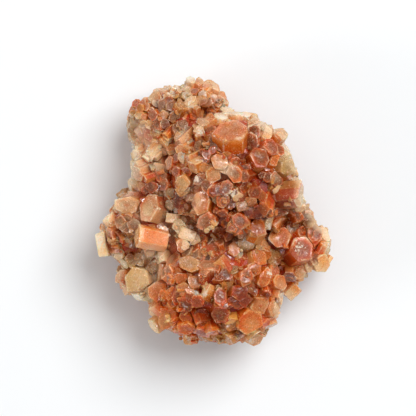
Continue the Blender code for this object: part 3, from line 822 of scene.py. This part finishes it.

# painted light (+) and painted shade (-) over regions of the cluster, which also carry paler and rustier tone: plan x,
# plan y, reach, how much
LIGHT_AND_SHADE_ZONES = [(182, 210, 9, -0.8), (289, 188, 6, -0.7), (157, 158, 12, 0.5), (137, 132, 15, 0.6), (134, 120, 7, 0.7), (134, 150, 8, 0.7), (231, 243, 7, 0.6), (138, 217, 6, 0.5), (191, 108, 5, 0.5), (234, 266, 6, 0.3), (145, 147, 6, 0.4),
          (144, 165, 6, 0.5), (155, 167, 6, 0.5), (236, 117, 7, 0.5), (325, 248, 6, 0.5), (212, 245, 6, 0.4), (152, 105, 7, 0.4), (255, 278, 7, -0.7), (225, 272, 7, -0.4), (164, 120, 6, -0.3),
          (194, 230, 7, 0.4), (118, 226, 7, 0.3), (225, 255, 7, -0.5), (255, 269, 6, -0.5), (286, 196, 7, -0.5), (286, 150, 7, -0.5), (270, 240, 7, 0.4), (256, 332, 8, 0.5), (281, 284, 8, 0.4), (288, 208, 7, 0.5), (165, 166, 7, 0.4), (182, 136, 6, 0.3),
          (308, 215, 11, -0.7), (200, 256, 8, 0.3),
          (250, 321, 9, 0.45), (165, 320, 8, 0.4), (138, 278, 9, 0.25), (112, 243, 7, -0.7), (190, 307, 10, -0.5), (284, 194, 8, -0.6), (225, 212, 10, -0.5),
          (217, 196, 10, -0.5), (165, 256, 8, 0.6), (209, 268, 8, 0.4), (190, 198, 13, 0.7), (176, 222, 20, 0.8), (155, 270, 12, 0.5), (150, 325, 15, 0.6),
          (101, 244, 11, 0.9), (130, 187, 10, 0.5), (214, 93, 11, 0.5), (140, 298, 12, 0.6), (314, 226, 10, -0.9), (240, 303, 7, -0.7), (205, 320, 34, -0.3), (136, 106, 8, -0.5), (270, 203, 7, 0.3), (150, 184, 8, -0.4), (168, 120, 9, -0.15), (226, 285, 9, -0.4), (226, 228, 7, -0.5), (224, 172, 10, 0.4), (184, 140, 10, 0.4),
          (206, 152, 14, -0.8), (258, 196, 16, -0.8), (275, 178, 7, 0.5), (286, 166, 10, -0.8), (240, 212, 13, -0.8), (258, 226, 10, -0.6), (252, 168, 10, -0.6),
          (236, 255, 11, -0.1), (282, 258, 15, -0.5), (238, 290, 15, -0.8), (262, 310, 13, -0.25), (188, 284, 10, -0.5), (181, 108, 10, -0.3),
          (188, 318, 9, -0.4), (318, 216, 8, -0.3), (150, 232, 9, -0.3),
          (256, 228, 8, -0.7), (200, 243, 7, -0.2), (235, 252, 8, -0.1), (238, 292, 9, -0.6), (248, 182, 7, -0.6),
          (178, 196, 7, -0.9), (300, 222, 10, -0.3), (262, 208, 8, -0.5), (225, 172, 7, 0.4), (153, 275, 9, 0.7), (150, 252, 8, 0.6),
          (297, 200, 6, 0.8), (250, 338, 8, 0.4), (330, 242, 7, 0.3), (154, 251, 6, 0.5), (131, 167, 10, 0.6), (128, 190, 9, 0.5),
          (145, 215, 7, 0.4), (106, 258, 8, 0.5), (205, 125, 7, 0.5), (183, 93, 9, 0.4)]

# patches of thin white crust, some of them painted glints: plan x, plan y, reach, how closed the patch is
CRUSTS_AND_GLINTS = [(296, 246, 8, 0), (269, 273, 6, 0), (246, 114, 9, 0.2), (222, 118, 7, 0.2), (196, 291, 5, 0), (101, 242, 9, 0.5), (152, 262, 5, 0),
          (268, 226, 6, 0), (184, 157, 3, 0.5), (199, 163, 4, 0.3), (197, 180, 3, 0.4), (232, 193, 4, 0.5), (131, 148, 6, 0.2), (191, 106, 5, 0.3),
          (188, 338, 6, 0), (250, 342, 6, 0), (137, 297, 6, 0.3), (182, 140, 4, 0.4), (200, 134, 4, 0.2), (172, 94, 4, 0.5), (133, 165, 5, 0.4),
          (149, 151, 5, 0.4), (205, 292, 4, 0.4), (190, 80, 5, 0.4)]

# regions where the stain is a lively orange rather than brown: plan x, plan y, reach, how much
GOLDS = [(103, 252, 6, 0.7), (180, 318, 30, 1.0), (235, 318, 30, 1.0), (296, 290, 8, 0.8), (323, 262, 8, 0.9), (318, 243, 6, 0.8), (135, 106, 9, 0.9), (112, 243, 9, 0.6), (165, 166, 8, 0.6), (182, 222, 12, 0.4), (258, 168, 8, 0.5), (287, 262, 14, 1.0),
         (205, 90, 10, 0.4), (180, 300, 14, 0.4)]


def linear(rgb, gain=1.0):
    out = [c / 255.0 for c in rgb]
    out = [c / 12.92 if c <= 0.04045 else ((c + 0.055) / 1.055) ** 2.4 for c in out]
    gain = min(gain, 0.93 / max(out))
    return [c * gain for c in out]


def dress_faces(mesh, crystals):
    """Writes on every face its crystal's tones, and on every corner its place in its own crystal."""
    count = len(crystals)
    ends = np.zeros((count + len(LOBES), 3))
    us = np.zeros_like(ends)
    vs = np.zeros_like(ends)
    axes = np.zeros_like(ends)
    rs = np.ones(count + len(LOBES))
    cols = np.zeros((count + len(LOBES), 4, 3))
    feel = np.zeros((count + len(LOBES), 3))
    rng = random.Random(77)
    for k, (end, axis, r, turn, length, tone) in enumerate(crystals):
        side = axis.orthogonal().normalized()
        up = axis.cross(side).normalized()
        ct, st = math.cos(turn), math.sin(turn)
        ends[k] = end
        us[k] = side * ct + up * st
        vs[k] = up * ct - side * st
        axes[k] = axis
        rs[k] = r
        gain = rng.uniform(0.95, 1.04) * ALBEDO_GAIN
        warm = rng.uniform(-0.01, 0.09)
        for j in range(4):
            c = linear(TONES[tone][j], gain)
            cols[k, j] = (c[0], c[1] * (1 - 0.5 * warm), c[2] * (1 - warm))
        feel[k] = (rng.random(), TONES[tone][4] * rng.uniform(0.6, 1.4), rng.random())
    for k in range(len(LOBES)):
        i = count + k
        cx, cy, cz, rh, rv = LOBES[k]
        ends[i] = (cx, cy, cz)
        us[i] = (0, 0, 0)
        vs[i] = (0, 0, 0)
        axes[i] = (0, 0, 0)
        for j in range(4):
            cols[i, j] = linear(TONES["b"][j], ALBEDO_GAIN)
        feel[i] = (0.5, 0.0, 0.5)

    nf, nl = len(mesh.polygons), len(mesh.loops)
    cid = np.zeros(nf, dtype=np.int32)
    mesh.attributes["cid"].data.foreach_get("value", cid)
    facet = np.zeros(nf, dtype=np.int32)
    mesh.attributes["facet"].data.foreach_get("value", facet)
    co = np.zeros(len(mesh.vertices) * 3)
    mesh.vertices.foreach_get("co", co)
    co = co.reshape(-1, 3) / STEP
    co[:, 0] += PLAN_X
    co[:, 1] = PLAN_Y - co[:, 1]
    lv = np.zeros(nl, dtype=np.int32)
    mesh.loops.foreach_get("vertex_index", lv)
    total = np.zeros(nf, dtype=np.int32)
    mesh.polygons.foreach_get("loop_total", total)
    lc = np.repeat(cid, total)
    rel = co[lv] - ends[lc]
    loc = np.stack([(rel * us[lc]).sum(1) / rs[lc], (rel * vs[lc]).sum(1) / rs[lc], -(rel * axes[lc]).sum(1) / rs[lc]], axis=1)
    loc[lc >= count] = (0.0, 0.0, 3.0)
    write(mesh, "loc", "FLOAT_VECTOR", "CORNER", "vector", loc)
    for j, name in enumerate(("tone_middle", "tone_rim", "tone_flank", "tone_deep")):
        rgba = np.ones((nf, 4))
        rgba[:, :3] = cols[cid, j]
        write(mesh, name, "FLOAT_COLOR", "FACE", "color", rgba)
    write(mesh, "feel", "FLOAT_VECTOR", "FACE", "vector", feel[cid])

    # the facet's own lightness and hue, and whether it is an end
    luck = np.random.RandomState(9).rand((count + len(LOBES)) * 8, 2)
    facet[cid >= count] = facet[cid >= count] % 6
    own = luck[cid * 8 + facet]
    write(mesh, "facet_feel", "FLOAT_VECTOR", "FACE", "vector", np.stack([own[:, 0], own[:, 1], (facet == 6).astype(float)], axis=1))

    # the place on the facet, and how deep the corner lies under the common surface of the lobes, in steps
    uv = np.zeros(nl * 2)
    mesh.uv_layers["spot"].data.foreach_get("uv", uv)
    uv = uv.reshape(-1, 2)
    deep = np.full(len(co), 1e9)
    for cx, cy, cz, rh, rv in LOBES:
        q = np.sqrt(((co[:, 0] - cx) / rh) ** 2 + ((co[:, 1] - cy) / rh) ** 2 + ((co[:, 2] - cz) / rv) ** 2)
        deep = np.minimum(deep, (q - 1.0) * 0.5 * (rh + rv))
    write(mesh, "spot_sink", "FLOAT_VECTOR", "CORNER", "vector", np.stack([uv[:, 0], uv[:, 1], -deep[lv]], axis=1))
    # how near each corner lies to a listed hollow, for the rust and painted shade there
    hollow = np.full(len(co), 9.0)
    for x, y, reach in HOLLOWS:
        hollow = np.minimum(hollow, np.sqrt((co[:, 0] - x) ** 2 + (co[:, 1] - y) ** 2) / reach)
    hollow[co[:, 2] < 30] = 9.0
    rim = np.full(len(co), 1e9)
    for (x0, y0), (x1, y1) in zip(OUTLINE, OUTLINE[1:] + OUTLINE[:1]):
        dx, dy = x1 - x0, y1 - y0
        t = np.clip(((co[:, 0] - x0) * dx + (co[:, 1] - y0) * dy) / (dx * dx + dy * dy), 0, 1)
        rim = np.minimum(rim, np.hypot(co[:, 0] - x0 - t * dx, co[:, 1] - y0 - t * dy))
    rim += 26.0 * np.exp(-((co[:, 0] - 132) ** 2 + (co[:, 1] - 122) ** 2) / 19.0 ** 2)      # these two stretches get no painted rim light and stay tan
    rim += 14.0 * np.exp(-((co[:, 0] - 205) / 55.0) ** 2 - ((co[:, 1] - 335) / 20.0) ** 2)
    write(mesh, "place", "FLOAT_VECTOR", "CORNER", "vector", np.stack([hollow[lv], rim[lv], co[lv, 2]], axis=1))
    # how near each corner lies to the listed patches of white crust and painted glints
    crust_and_glint = np.full(len(co), 9.0)
    for x, y, reach, closed in CRUSTS_AND_GLINTS:
        z = surface_height(x, y)[0] + 3
        crust_and_glint = np.minimum(crust_and_glint, np.sqrt((co[:, 0] - x) ** 2 + (co[:, 1] - y) ** 2 + (0.5 * (co[:, 2] - z)) ** 2) / reach - closed)
    write(mesh, "crust_and_glint", "FLOAT", "CORNER", "value", crust_and_glint[lv])
    # painted light (+) and painted shade (-) of the listed zones, summed at every corner
    light_and_shade = np.zeros(len(co))
    for x, y, reach, much in LIGHT_AND_SHADE_ZONES:
        light_and_shade += much * np.exp(-((co[:, 0] - x) ** 2 + (co[:, 1] - y) ** 2) / reach ** 2)
    write(mesh, "light_and_shade", "FLOAT", "CORNER", "value", np.clip(light_and_shade, -1, 1)[lv])
    gold = np.zeros(len(co))
    for x, y, reach, much in GOLDS:
        gold += much * np.exp(-((co[:, 0] - x) ** 2 + (co[:, 1] - y) ** 2) / reach ** 2)
    write(mesh, "gold", "FLOAT", "CORNER", "value", np.clip(gold, 0, 1)[lv])
    mesh.uv_layers.remove(mesh.uv_layers["spot"])
    mesh.attributes.remove(mesh.attributes["facet"])
    mesh.attributes.remove(mesh.attributes["cid"])


def write(mesh, name, kind, domain, field, values):
    a = mesh.attributes.new(name, kind, domain)
    a.data.foreach_set(field, np.ascontiguousarray(values, dtype=np.float32).ravel())


# ---------------------------------------------------------------------------------------------------------------
# Material
# ---------------------------------------------------------------------------------------------------------------
class Graph:
    """A few short words for wiring shader nodes."""

    def __init__(self, mat):
        self.tree = mat.node_tree
        self.nodes = mat.node_tree.nodes
        self.links = mat.node_tree.links

    def set(self, node, socket, value):
        if isinstance(value, bpy.types.NodeSocket):
            self.links.new(value, node.inputs[socket])
        else:
            node.inputs[socket].default_value = value

    def attr(self, name, out):
        n = self.nodes.new("ShaderNodeAttribute")
        n.attribute_name = name
        return n.outputs[out]

    def math(self, op, a, b=0.0, c=0.0, clamp=False):
        n = self.nodes.new("ShaderNodeMath")
        n.operation = op
        n.use_clamp = clamp
        for i, v in enumerate((a, b, c)):
            if i < len(n.inputs):
                self.set(n, i, v)
        return n.outputs[0]

    def vmath(self, op, a, b=(0, 0, 0), out="Vector"):
        n = self.nodes.new("ShaderNodeVectorMath")
        n.operation = op
        self.set(n, 0, a)
        self.set(n, 1, b)
        return n.outputs[out]

    def split(self, v):
        n = self.nodes.new("ShaderNodeSeparateXYZ")
        self.set(n, 0, v)
        return n.outputs

    def join(self, x, y, z):
        n = self.nodes.new("ShaderNodeCombineXYZ")
        for i, v in enumerate((x, y, z)):
            self.set(n, i, v)
        return n.outputs[0]

    def ramp(self, value, lo, hi, a=0.0, b=1.0, smooth=True):
        n = self.nodes.new("ShaderNodeMapRange")
        n.interpolation_type = "SMOOTHSTEP" if smooth else "LINEAR"
        for i, v in enumerate((value, lo, hi, a, b)):
            self.set(n, i, v)
        return n.outputs[0]

    def noise(self, vector, scale, detail=3.0, rough=0.55):
        n = self.nodes.new("ShaderNodeTexNoise")
        self.set(n, "Vector", vector)
        self.set(n, "Scale", scale)
        self.set(n, "Detail", detail)
        self.set(n, "Roughness", rough)
        return n.outputs[0]

    def mix(self, factor, a, b, blend="MIX"):
        n = self.nodes.new("ShaderNodeMix")
        n.data_type = "RGBA"
        n.blend_type = blend
        self.set(n, "Factor", factor)
        for sock, v in ((n.inputs[6], a), (n.inputs[7], b)):
            if isinstance(v, bpy.types.NodeSocket):
                self.links.new(v, sock)
            else:
                sock.default_value = v
        return n.outputs[2]


def aragonite_material():
    mat = bpy.data.materials.new("aragonite")
    mat.use_nodes = True
    g = Graph(mat)
    bsdf = g.nodes["Principled BSDF"]
    loc = g.attr("loc", "Vector")
    feel = g.split(g.attr("feel", "Vector"))
    own = g.split(g.attr("facet_feel", "Vector"))
    spot = g.split(g.attr("spot_sink", "Vector"))
    middle, rim_tone = g.attr("tone_middle", "Color"), g.attr("tone_rim", "Color")
    flank_tone, deep_tone = g.attr("tone_flank", "Color"), g.attr("tone_deep", "Color")
    x, y, depth = g.split(loc)[0], g.split(loc)[1], g.split(loc)[2]
    coord = g.nodes.new("ShaderNodeTexCoord").outputs["Object"]
    facing_up = g.split(g.nodes.new("ShaderNodeNewGeometry").outputs["Normal"])[2]
    seedv = g.join(g.math("MULTIPLY", feel[0], 37.0), g.math("MULTIPLY", feel[2], 19.0), 0.0)
    local = g.vmath("ADD", loc, seedv)
    zone_noise = g.noise(coord, 150.0, 2.0, 0.5)
    cloud = g.noise(coord, 520.0, 3.0, 0.6)
    mottle = g.noise(coord, 1500.0, 3.0, 0.65)
    fine = g.noise(coord, 3600.0, 2.0, 0.6)
    wobble = g.math("SUBTRACT", g.noise(local, 1.9, 2.5), 0.5)
    pale = g.ramp(feel[1], 0.12, 0.30)
    dirt = g.math("SUBTRACT", 1.0, g.math("MULTIPLY", pale, 0.7))

    # the end: a mottled middle, painted light and shade across it (lighter on one side, darker on the other), a painted
    # orange glow towards the rim that is stronger on the lighter side, and painted highlights: a pale rim and a thin
    # pale line that come and go
    way = g.math("MULTIPLY", feel[0], 6.2832)
    slope = g.math("MULTIPLY_ADD", y, g.math("SINE", way), g.math("MULTIPLY", x, g.math("COSINE", way)))
    slope = g.math("ADD", slope, g.math("MULTIPLY", wobble, 1.8))
    grain = g.noise(local, 4.5, 3.0, 0.65)
    face = g.mix(g.ramp(grain, 0.40, 0.68, 0.0, 0.30), middle, g.mix(0.6, middle, rim_tone))
    face = g.mix(g.ramp(grain, 0.44, 0.26, 0.0, 0.35), face, g.mix(0.5, middle, deep_tone))
    # painted light and shade: each end lighter and oranger towards one side of its slope, darker towards the other
    face = g.mix(g.ramp(slope, 0.0, 1.0, 0.0, 0.55), face, g.mix(0.5, flank_tone, rim_tone))
    face = g.mix(g.ramp(slope, 0.0, -1.0, 0.0, 0.45), face, g.mix(0.6, middle, deep_tone))
    # painted glow: the flank's orange reaches in from the rim, stronger on the lighter side
    zone = g.math("ADD", spot[0], g.math("MULTIPLY", wobble, 0.50))
    face = g.mix(g.math("MULTIPLY", g.ramp(zone, 0.42, 0.85), g.ramp(slope, -0.9, 0.6, 0.20, 0.80)), face, flank_tone)
    stain = g.math("MULTIPLY", g.ramp(zone, 0.30, 0.02), g.ramp(feel[2], 0.80, 0.86))
    face = g.mix(g.math("MULTIPLY", stain, 0.6), face, deep_tone)
    # painted highlight: a pale band along part of the rim
    side = g.math("SINE", g.math("ADD", g.math("MULTIPLY", x, 2.9), g.math("ADD", g.math("MULTIPLY", y, 2.3), g.math("MULTIPLY", feel[2], 40.0))))
    rim = g.math("MULTIPLY", g.ramp(zone, 0.70, 1.06), g.ramp(g.math("ADD", side, g.math("MULTIPLY", wobble, 3.0)), -0.5, 0.8, 0.0, 0.70))
    face = g.mix(rim, face, g.mix(0.5, rim_tone, (0.96, 0.84, 0.70, 1)))
    # painted highlight: a thin pale line just inside the rim, in patches
    line = g.math("MULTIPLY", g.ramp(g.math("MULTIPLY_ADD", wobble, 0.12, spot[0]), 0.86, 0.95), g.math("MULTIPLY", g.ramp(cloud, 0.44, 0.62, 0.0, 0.80), g.ramp(mottle, 0.40, 0.56)))
    face = g.mix(line, face, (0.97, 0.88, 0.78, 1))

    # the flanks: each has its own lightness, a painted glow near the end and at its corners, painted shade further
    # down, threads along it and painted highlights on its edges
    streak = g.math("SUBTRACT", g.noise(g.vmath("MULTIPLY", local, (5.0, 5.0, 0.5)), 1.5, 3.0, 0.6), 0.5)
    thread = g.noise(g.vmath("MULTIPLY", local, (13.0, 13.0, 0.9)), 1.3, 2.0, 0.6)
    # painted shade: the flank darkens towards its deep tone further down
    down = g.math("ADD", g.math("ADD", depth, g.math("MULTIPLY", streak, 1.6)), g.math("MULTIPLY", g.math("SUBTRACT", own[0], 0.5), 1.6))
    flank = g.mix(g.ramp(down, 0.2, 2.2), flank_tone, deep_tone)
    flank = g.mix(g.ramp(grain, 0.50, 0.70, 0.0, 0.40), flank, g.mix(0.5, flank_tone, (0.96, 0.50, 0.16, 1)))
    flank = g.mix(g.ramp(thread, 0.44, 0.28, 0.0, 0.25), flank, deep_tone)
    flank = g.mix(g.ramp(own[1], 0.66, 0.95, 0.0, 0.65), flank, g.mix(0.5, rim_tone, (0.98, 0.62, 0.28, 1)))
    # painted glow: lighter orange near the flank's corners, and paler next to the end
    corner = g.math("MINIMUM", spot[0], g.math("SUBTRACT", 1.0, spot[0]))
    flank = g.mix(g.ramp(g.math("ADD", corner, g.math("MULTIPLY", wobble, 0.10)), 0.12, 0.0, 0.0, 0.30), flank, (0.96, 0.60, 0.30, 1))
    flank = g.mix(g.ramp(depth, 0.03, 0.45, 0.50, 0.0), flank, rim_tone)
    # painted highlight: pale lines along the corners and next to the end, in patches
    edge = g.math("MULTIPLY", g.math("MAXIMUM", g.ramp(corner, 0.07, 0.02), g.ramp(depth, 0.16, 0.05)), g.math("MULTIPLY", g.ramp(cloud, 0.46, 0.62, 0.0, 0.70), g.ramp(mottle, 0.40, 0.56)))
    flank = g.mix(edge, flank, (0.97, 0.86, 0.74, 1))
    colour = g.mix(own[2], flank, face)

    # wide zones of orange and of mauve, rusty veils, pale frosting and specks, painted glints, and rust with painted
    # shade where it lies deep
    colour = g.mix(g.ramp(zone_noise, 0.52, 0.68, 0.0, 0.45), colour, g.mix(1.0, colour, (1.0, 0.72, 0.42, 1), "MULTIPLY"))
    colour = g.mix(g.ramp(zone_noise, 0.46, 0.32, 0.0, 0.35), colour, g.mix(1.0, colour, (0.86, 0.80, 0.86, 1), "MULTIPLY"))
    colour = g.mix(g.math("MULTIPLY", dirt, g.ramp(cloud, 0.52, 0.74, 0.0, 0.60)), colour, g.mix(0.5, colour, (0.62, 0.10, 0.004, 1)))
    colour = g.mix(g.ramp(cloud, 0.46, 0.26, 0.0, 0.30), colour, (0.92, 0.62, 0.36, 1))
    colour = g.mix(g.math("MULTIPLY", dirt, g.ramp(mottle, 0.40, 0.24, 0.0, 0.18)), colour, g.mix(1.0, colour, (0.85, 0.58, 0.42, 1), "MULTIPLY"))
    # rust and painted shade: darker red-brown where the surface lies deep under the lobes' common surface
    colour = g.mix(g.ramp(g.math("ADD", spot[2], g.math("MULTIPLY", wobble, 6.0)), 4.0, 16.0, 0.0, 0.60), colour, g.mix(0.35, (0.55, 0.075, 0.002, 1), colour))
    colour = g.mix(g.ramp(mottle, 0.60, 0.74, 0.0, 0.12), colour, (0.95, 0.80, 0.64, 1))
    colour = g.mix(g.math("MULTIPLY", pale, g.ramp(cloud, 0.44, 0.62, 0.0, 0.60)), colour, g.mix(1.0, colour, (0.86, 0.68, 0.52, 1), "MULTIPLY"))
    colour = g.mix(g.math("MULTIPLY", pale, g.ramp(grain, 0.56, 0.66, 0.0, 0.70)), colour, (0.96, 0.92, 0.86, 1))
    colour = g.mix(g.ramp(fine, 0.48, 0.36, 0.0, 0.70), colour, g.mix(1.0, colour, (0.64, 0.52, 0.44, 1), "MULTIPLY"))
    colour = g.mix(g.ramp(fine, 0.52, 0.64, 0.0, 0.24), colour, g.mix(0.5, colour, (0.97, 0.84, 0.66, 1)))
    place = g.split(g.attr("place", "Vector"))
    # painted light (+) and painted shade (-) from the listed zones, with paler and rustier tone; the lighter side
    # counts most high up
    light_and_shade = g.math("ADD", g.attr("light_and_shade", "Fac"), g.math("MULTIPLY", g.math("SUBTRACT", cloud, 0.5), 0.3))
    colour = g.mix(g.math("MULTIPLY", g.ramp(place[2], 42.0, 58.0, 0.3, 1.0), g.ramp(light_and_shade, 0.0, 1.0, 0.0, 0.60, False)), colour, (0.97, 0.84, 0.68, 1))
    colour = g.mix(g.ramp(light_and_shade, 0.0, -1.0, 0.0, 0.85, False), colour, g.mix(1.0, colour, (0.60, 0.42, 0.27, 1), "MULTIPLY"))
    colour = g.mix(g.attr("gold", "Fac"), colour, g.mix(1.0, colour, (1.08, 0.80, 0.46, 1), "MULTIPLY"))
    # painted glints: small pale specks, in patches
    painted_glint = g.math("MULTIPLY", g.ramp(fine, 0.58, 0.67), g.ramp(cloud, 0.50, 0.66, 0.0, 0.60))
    colour = g.mix(painted_glint, colour, (0.96, 0.91, 0.84, 1))
    # painted light: upper, upward-facing faces near the outline paler, as if lit through the thin rim
    near_rim = g.math("ADD", place[1], g.math("MULTIPLY", g.math("SUBTRACT", cloud, 0.5), 16.0))
    lit_upper_faces = g.math("MULTIPLY", g.ramp(place[2], 42.0, 58.0, 0.15, 1.0), g.ramp(facing_up, -0.25, 0.25, 0.25, 1.0))
    colour = g.mix(g.math("MULTIPLY", lit_upper_faces, g.ramp(near_rim, 11.0, 2.0, 0.0, 0.70)), colour, g.mix(0.30, (0.96, 0.80, 0.62, 1), colour))
    # rust and painted shade: dark red-brown in the listed hollows
    hollow = g.math("ADD", place[0], g.math("MULTIPLY", g.math("SUBTRACT", cloud, 0.5), 1.6))
    colour = g.mix(g.ramp(hollow, 1.25, 0.6, 0.0, 0.85), colour, g.mix(0.25, (0.26, 0.032, 0.001, 1), colour))
    # white crust, and painted glints where the listed patches stand in for highlights
    crust_and_glint = g.math("ADD", g.attr("crust_and_glint", "Fac"), g.math("MULTIPLY", g.math("SUBTRACT", mottle, 0.5), 3.2))
    colour = g.mix(g.ramp(crust_and_glint, 0.75, 0.30, 0.0, 0.75), colour, (0.96, 0.86, 0.76, 1))
    r, gr, bl = g.split(colour)
    colour = g.join(g.math("POWER", r, 1.03), g.math("POWER", gr, 1.06), g.math("POWER", bl, 1.235))
    g.set(bsdf, "Base Color", colour)

    g.set(bsdf, "Roughness", g.math("ADD", g.ramp(mottle, 0.3, 0.7, 0.06, 0.26), g.math("MULTIPLY", own[2], 0.05)))
    g.set(bsdf, "IOR", 1.6)
    g.set(bsdf, "Specular IOR Level", 0.50)
    g.set(bsdf, "Metallic", 0.0)
    g.set(bsdf, "Subsurface Weight", 0.8)
    g.set(bsdf, "Subsurface Radius", (1.0, 0.72, 0.50))
    g.set(bsdf, "Subsurface Scale", 0.0011)
    g.set(bsdf, "Transmission Weight", g.math("MULTIPLY_ADD", feel[1], 1.2, 0.06, clamp=True))
    absorb = g.nodes.new("ShaderNodeVolumeAbsorption")
    absorb.inputs["Color"].default_value = (1.0, 0.55, 0.25, 1)
    absorb.inputs["Density"].default_value = 90.0
    g.links.new(absorb.outputs[0], g.nodes["Material Output"].inputs["Volume"])

    height = g.math("ADD", g.math("MULTIPLY", mottle, 0.30), g.math("MULTIPLY", g.mix(own[2], thread, cloud), 0.70))
    bump = g.nodes.new("ShaderNodeBump")
    g.set(bump, "Height", height)
    bump.inputs["Strength"].default_value = 0.35
    bump.inputs["Distance"].default_value = 0.0002
    g.links.new(bump.outputs[0], bsdf.inputs["Normal"])
    return mat


def floor_material():
    mat = bpy.data.materials.new("white_table")
    mat.use_nodes = True
    bsdf = mat.node_tree.nodes["Principled BSDF"]
    bsdf.inputs["Base Color"].default_value = (0.83, 0.845, 0.855, 1)
    bsdf.inputs["Roughness"].default_value = 0.7
    bsdf.inputs["Specular IOR Level"].default_value = 0.2
    return mat


# ---------------------------------------------------------------------------------------------------------------
# The piece
# ---------------------------------------------------------------------------------------------------------------
mesh, crystals = grow_cluster()
fine_mesh, fine_crystals = druse(mesh, crystals)
stone = aragonite_material()
dress_faces(mesh, crystals)
dress_faces(fine_mesh, fine_crystals)
mesh.materials.clear()
mesh.materials.append(stone)
fine_mesh.materials.append(stone)
mesh.shade_smooth()
mesh.set_sharp_from_angle(angle=math.radians(24))
cluster = bpy.data.objects.new("aragonite", mesh)
bpy.context.scene.collection.objects.link(cluster)
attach(cluster, "root")
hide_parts("aragonite_cluster")

fine_mesh.set_sharp_from_angle(angle=math.radians(24))
fine_growth = bpy.data.objects.new("fine_growth", fine_mesh)
bpy.context.scene.collection.objects.link(fine_growth)
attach(fine_growth, "root")

# floor
bm = bmesh.new()
bmesh.ops.create_grid(bm, x_segments=1, y_segments=1, size=2.0)
floor_mesh = bpy.data.meshes.new("table")
bm.to_mesh(floor_mesh)
bm.free()
floor_mesh.materials.append(floor_material())
floor = bpy.data.objects.new("table", floor_mesh)
floor.location = (0, 0, -0.0001)
bpy.context.scene.collection.objects.link(floor)


def area_light(name, azimuth, elevation, distance, size, power, colour=(1, 1, 1), glints=False):
    lamp = bpy.data.lights.new(name, "AREA")
    lamp.shape = "DISK"
    lamp.size = size
    lamp.energy = power
    lamp.color = colour
    ob = bpy.data.objects.new(name, lamp)
    az, el = math.radians(azimuth), math.radians(elevation)
    d = Vector((math.cos(el) * math.cos(az), math.cos(el) * math.sin(az), math.sin(el)))
    ob.location = d * distance
    ob.rotation_euler = d.to_track_quat("Z", "Y").to_euler()
    ob.visible_glossy = glints or name == "top"
    ob.visible_diffuse = not glints
    bpy.context.scene.collection.objects.link(ob)
    return ob


area_light("key", 42, 58, 1.2, 0.80, 12.6, (0.985, 0.995, 1.0))
area_light("top", 100, 80, 1.6, 1.4, 3.0)
area_light("low", 200, 22, 1.1, 0.5, 3.4)
area_light("spark", 55, 66, 1.3, 0.26, 2.6, glints=True)
area_light("spark_left", 160, 62, 1.3, 0.16, 1.6, glints=True)
area_light("spark_low", 20, 40, 1.3, 0.16, 1.9, glints=True)
area_light("spark_back", 95, 48, 1.3, 0.16, 1.7, glints=True)
area_light("spark_front", 260, 58, 1.3, 0.14, 1.2, glints=True)

world = bpy.data.worlds.new("studio")
bpy.context.scene.world = world
world.use_nodes = True
world.node_tree.nodes["Background"].inputs["Color"].default_value = (1, 1, 1, 1)
world.node_tree.nodes["Background"].inputs["Strength"].default_value = 0.34

bpy.context.scene.view_settings.view_transform = "Standard"
bpy.context.scene.view_settings.look = "None"

# the camera looks straight down; the picture is 416 x 416 and one pixel is one grid step at the height HALF_UP
HALF_UP = 0.012
AWAY = 1.0
cam = bpy.data.cameras.new("camera")
cam.sensor_width = 36.0
cam.lens = 18.0 * AWAY / (208.0 * STEP)
camera = bpy.data.objects.new("camera", cam)
camera.location = ((208.0 - PLAN_X) * STEP, (PLAN_Y - 208.0) * STEP, HALF_UP + AWAY)
bpy.context.scene.collection.objects.link(camera)
bpy.context.scene.camera = camera
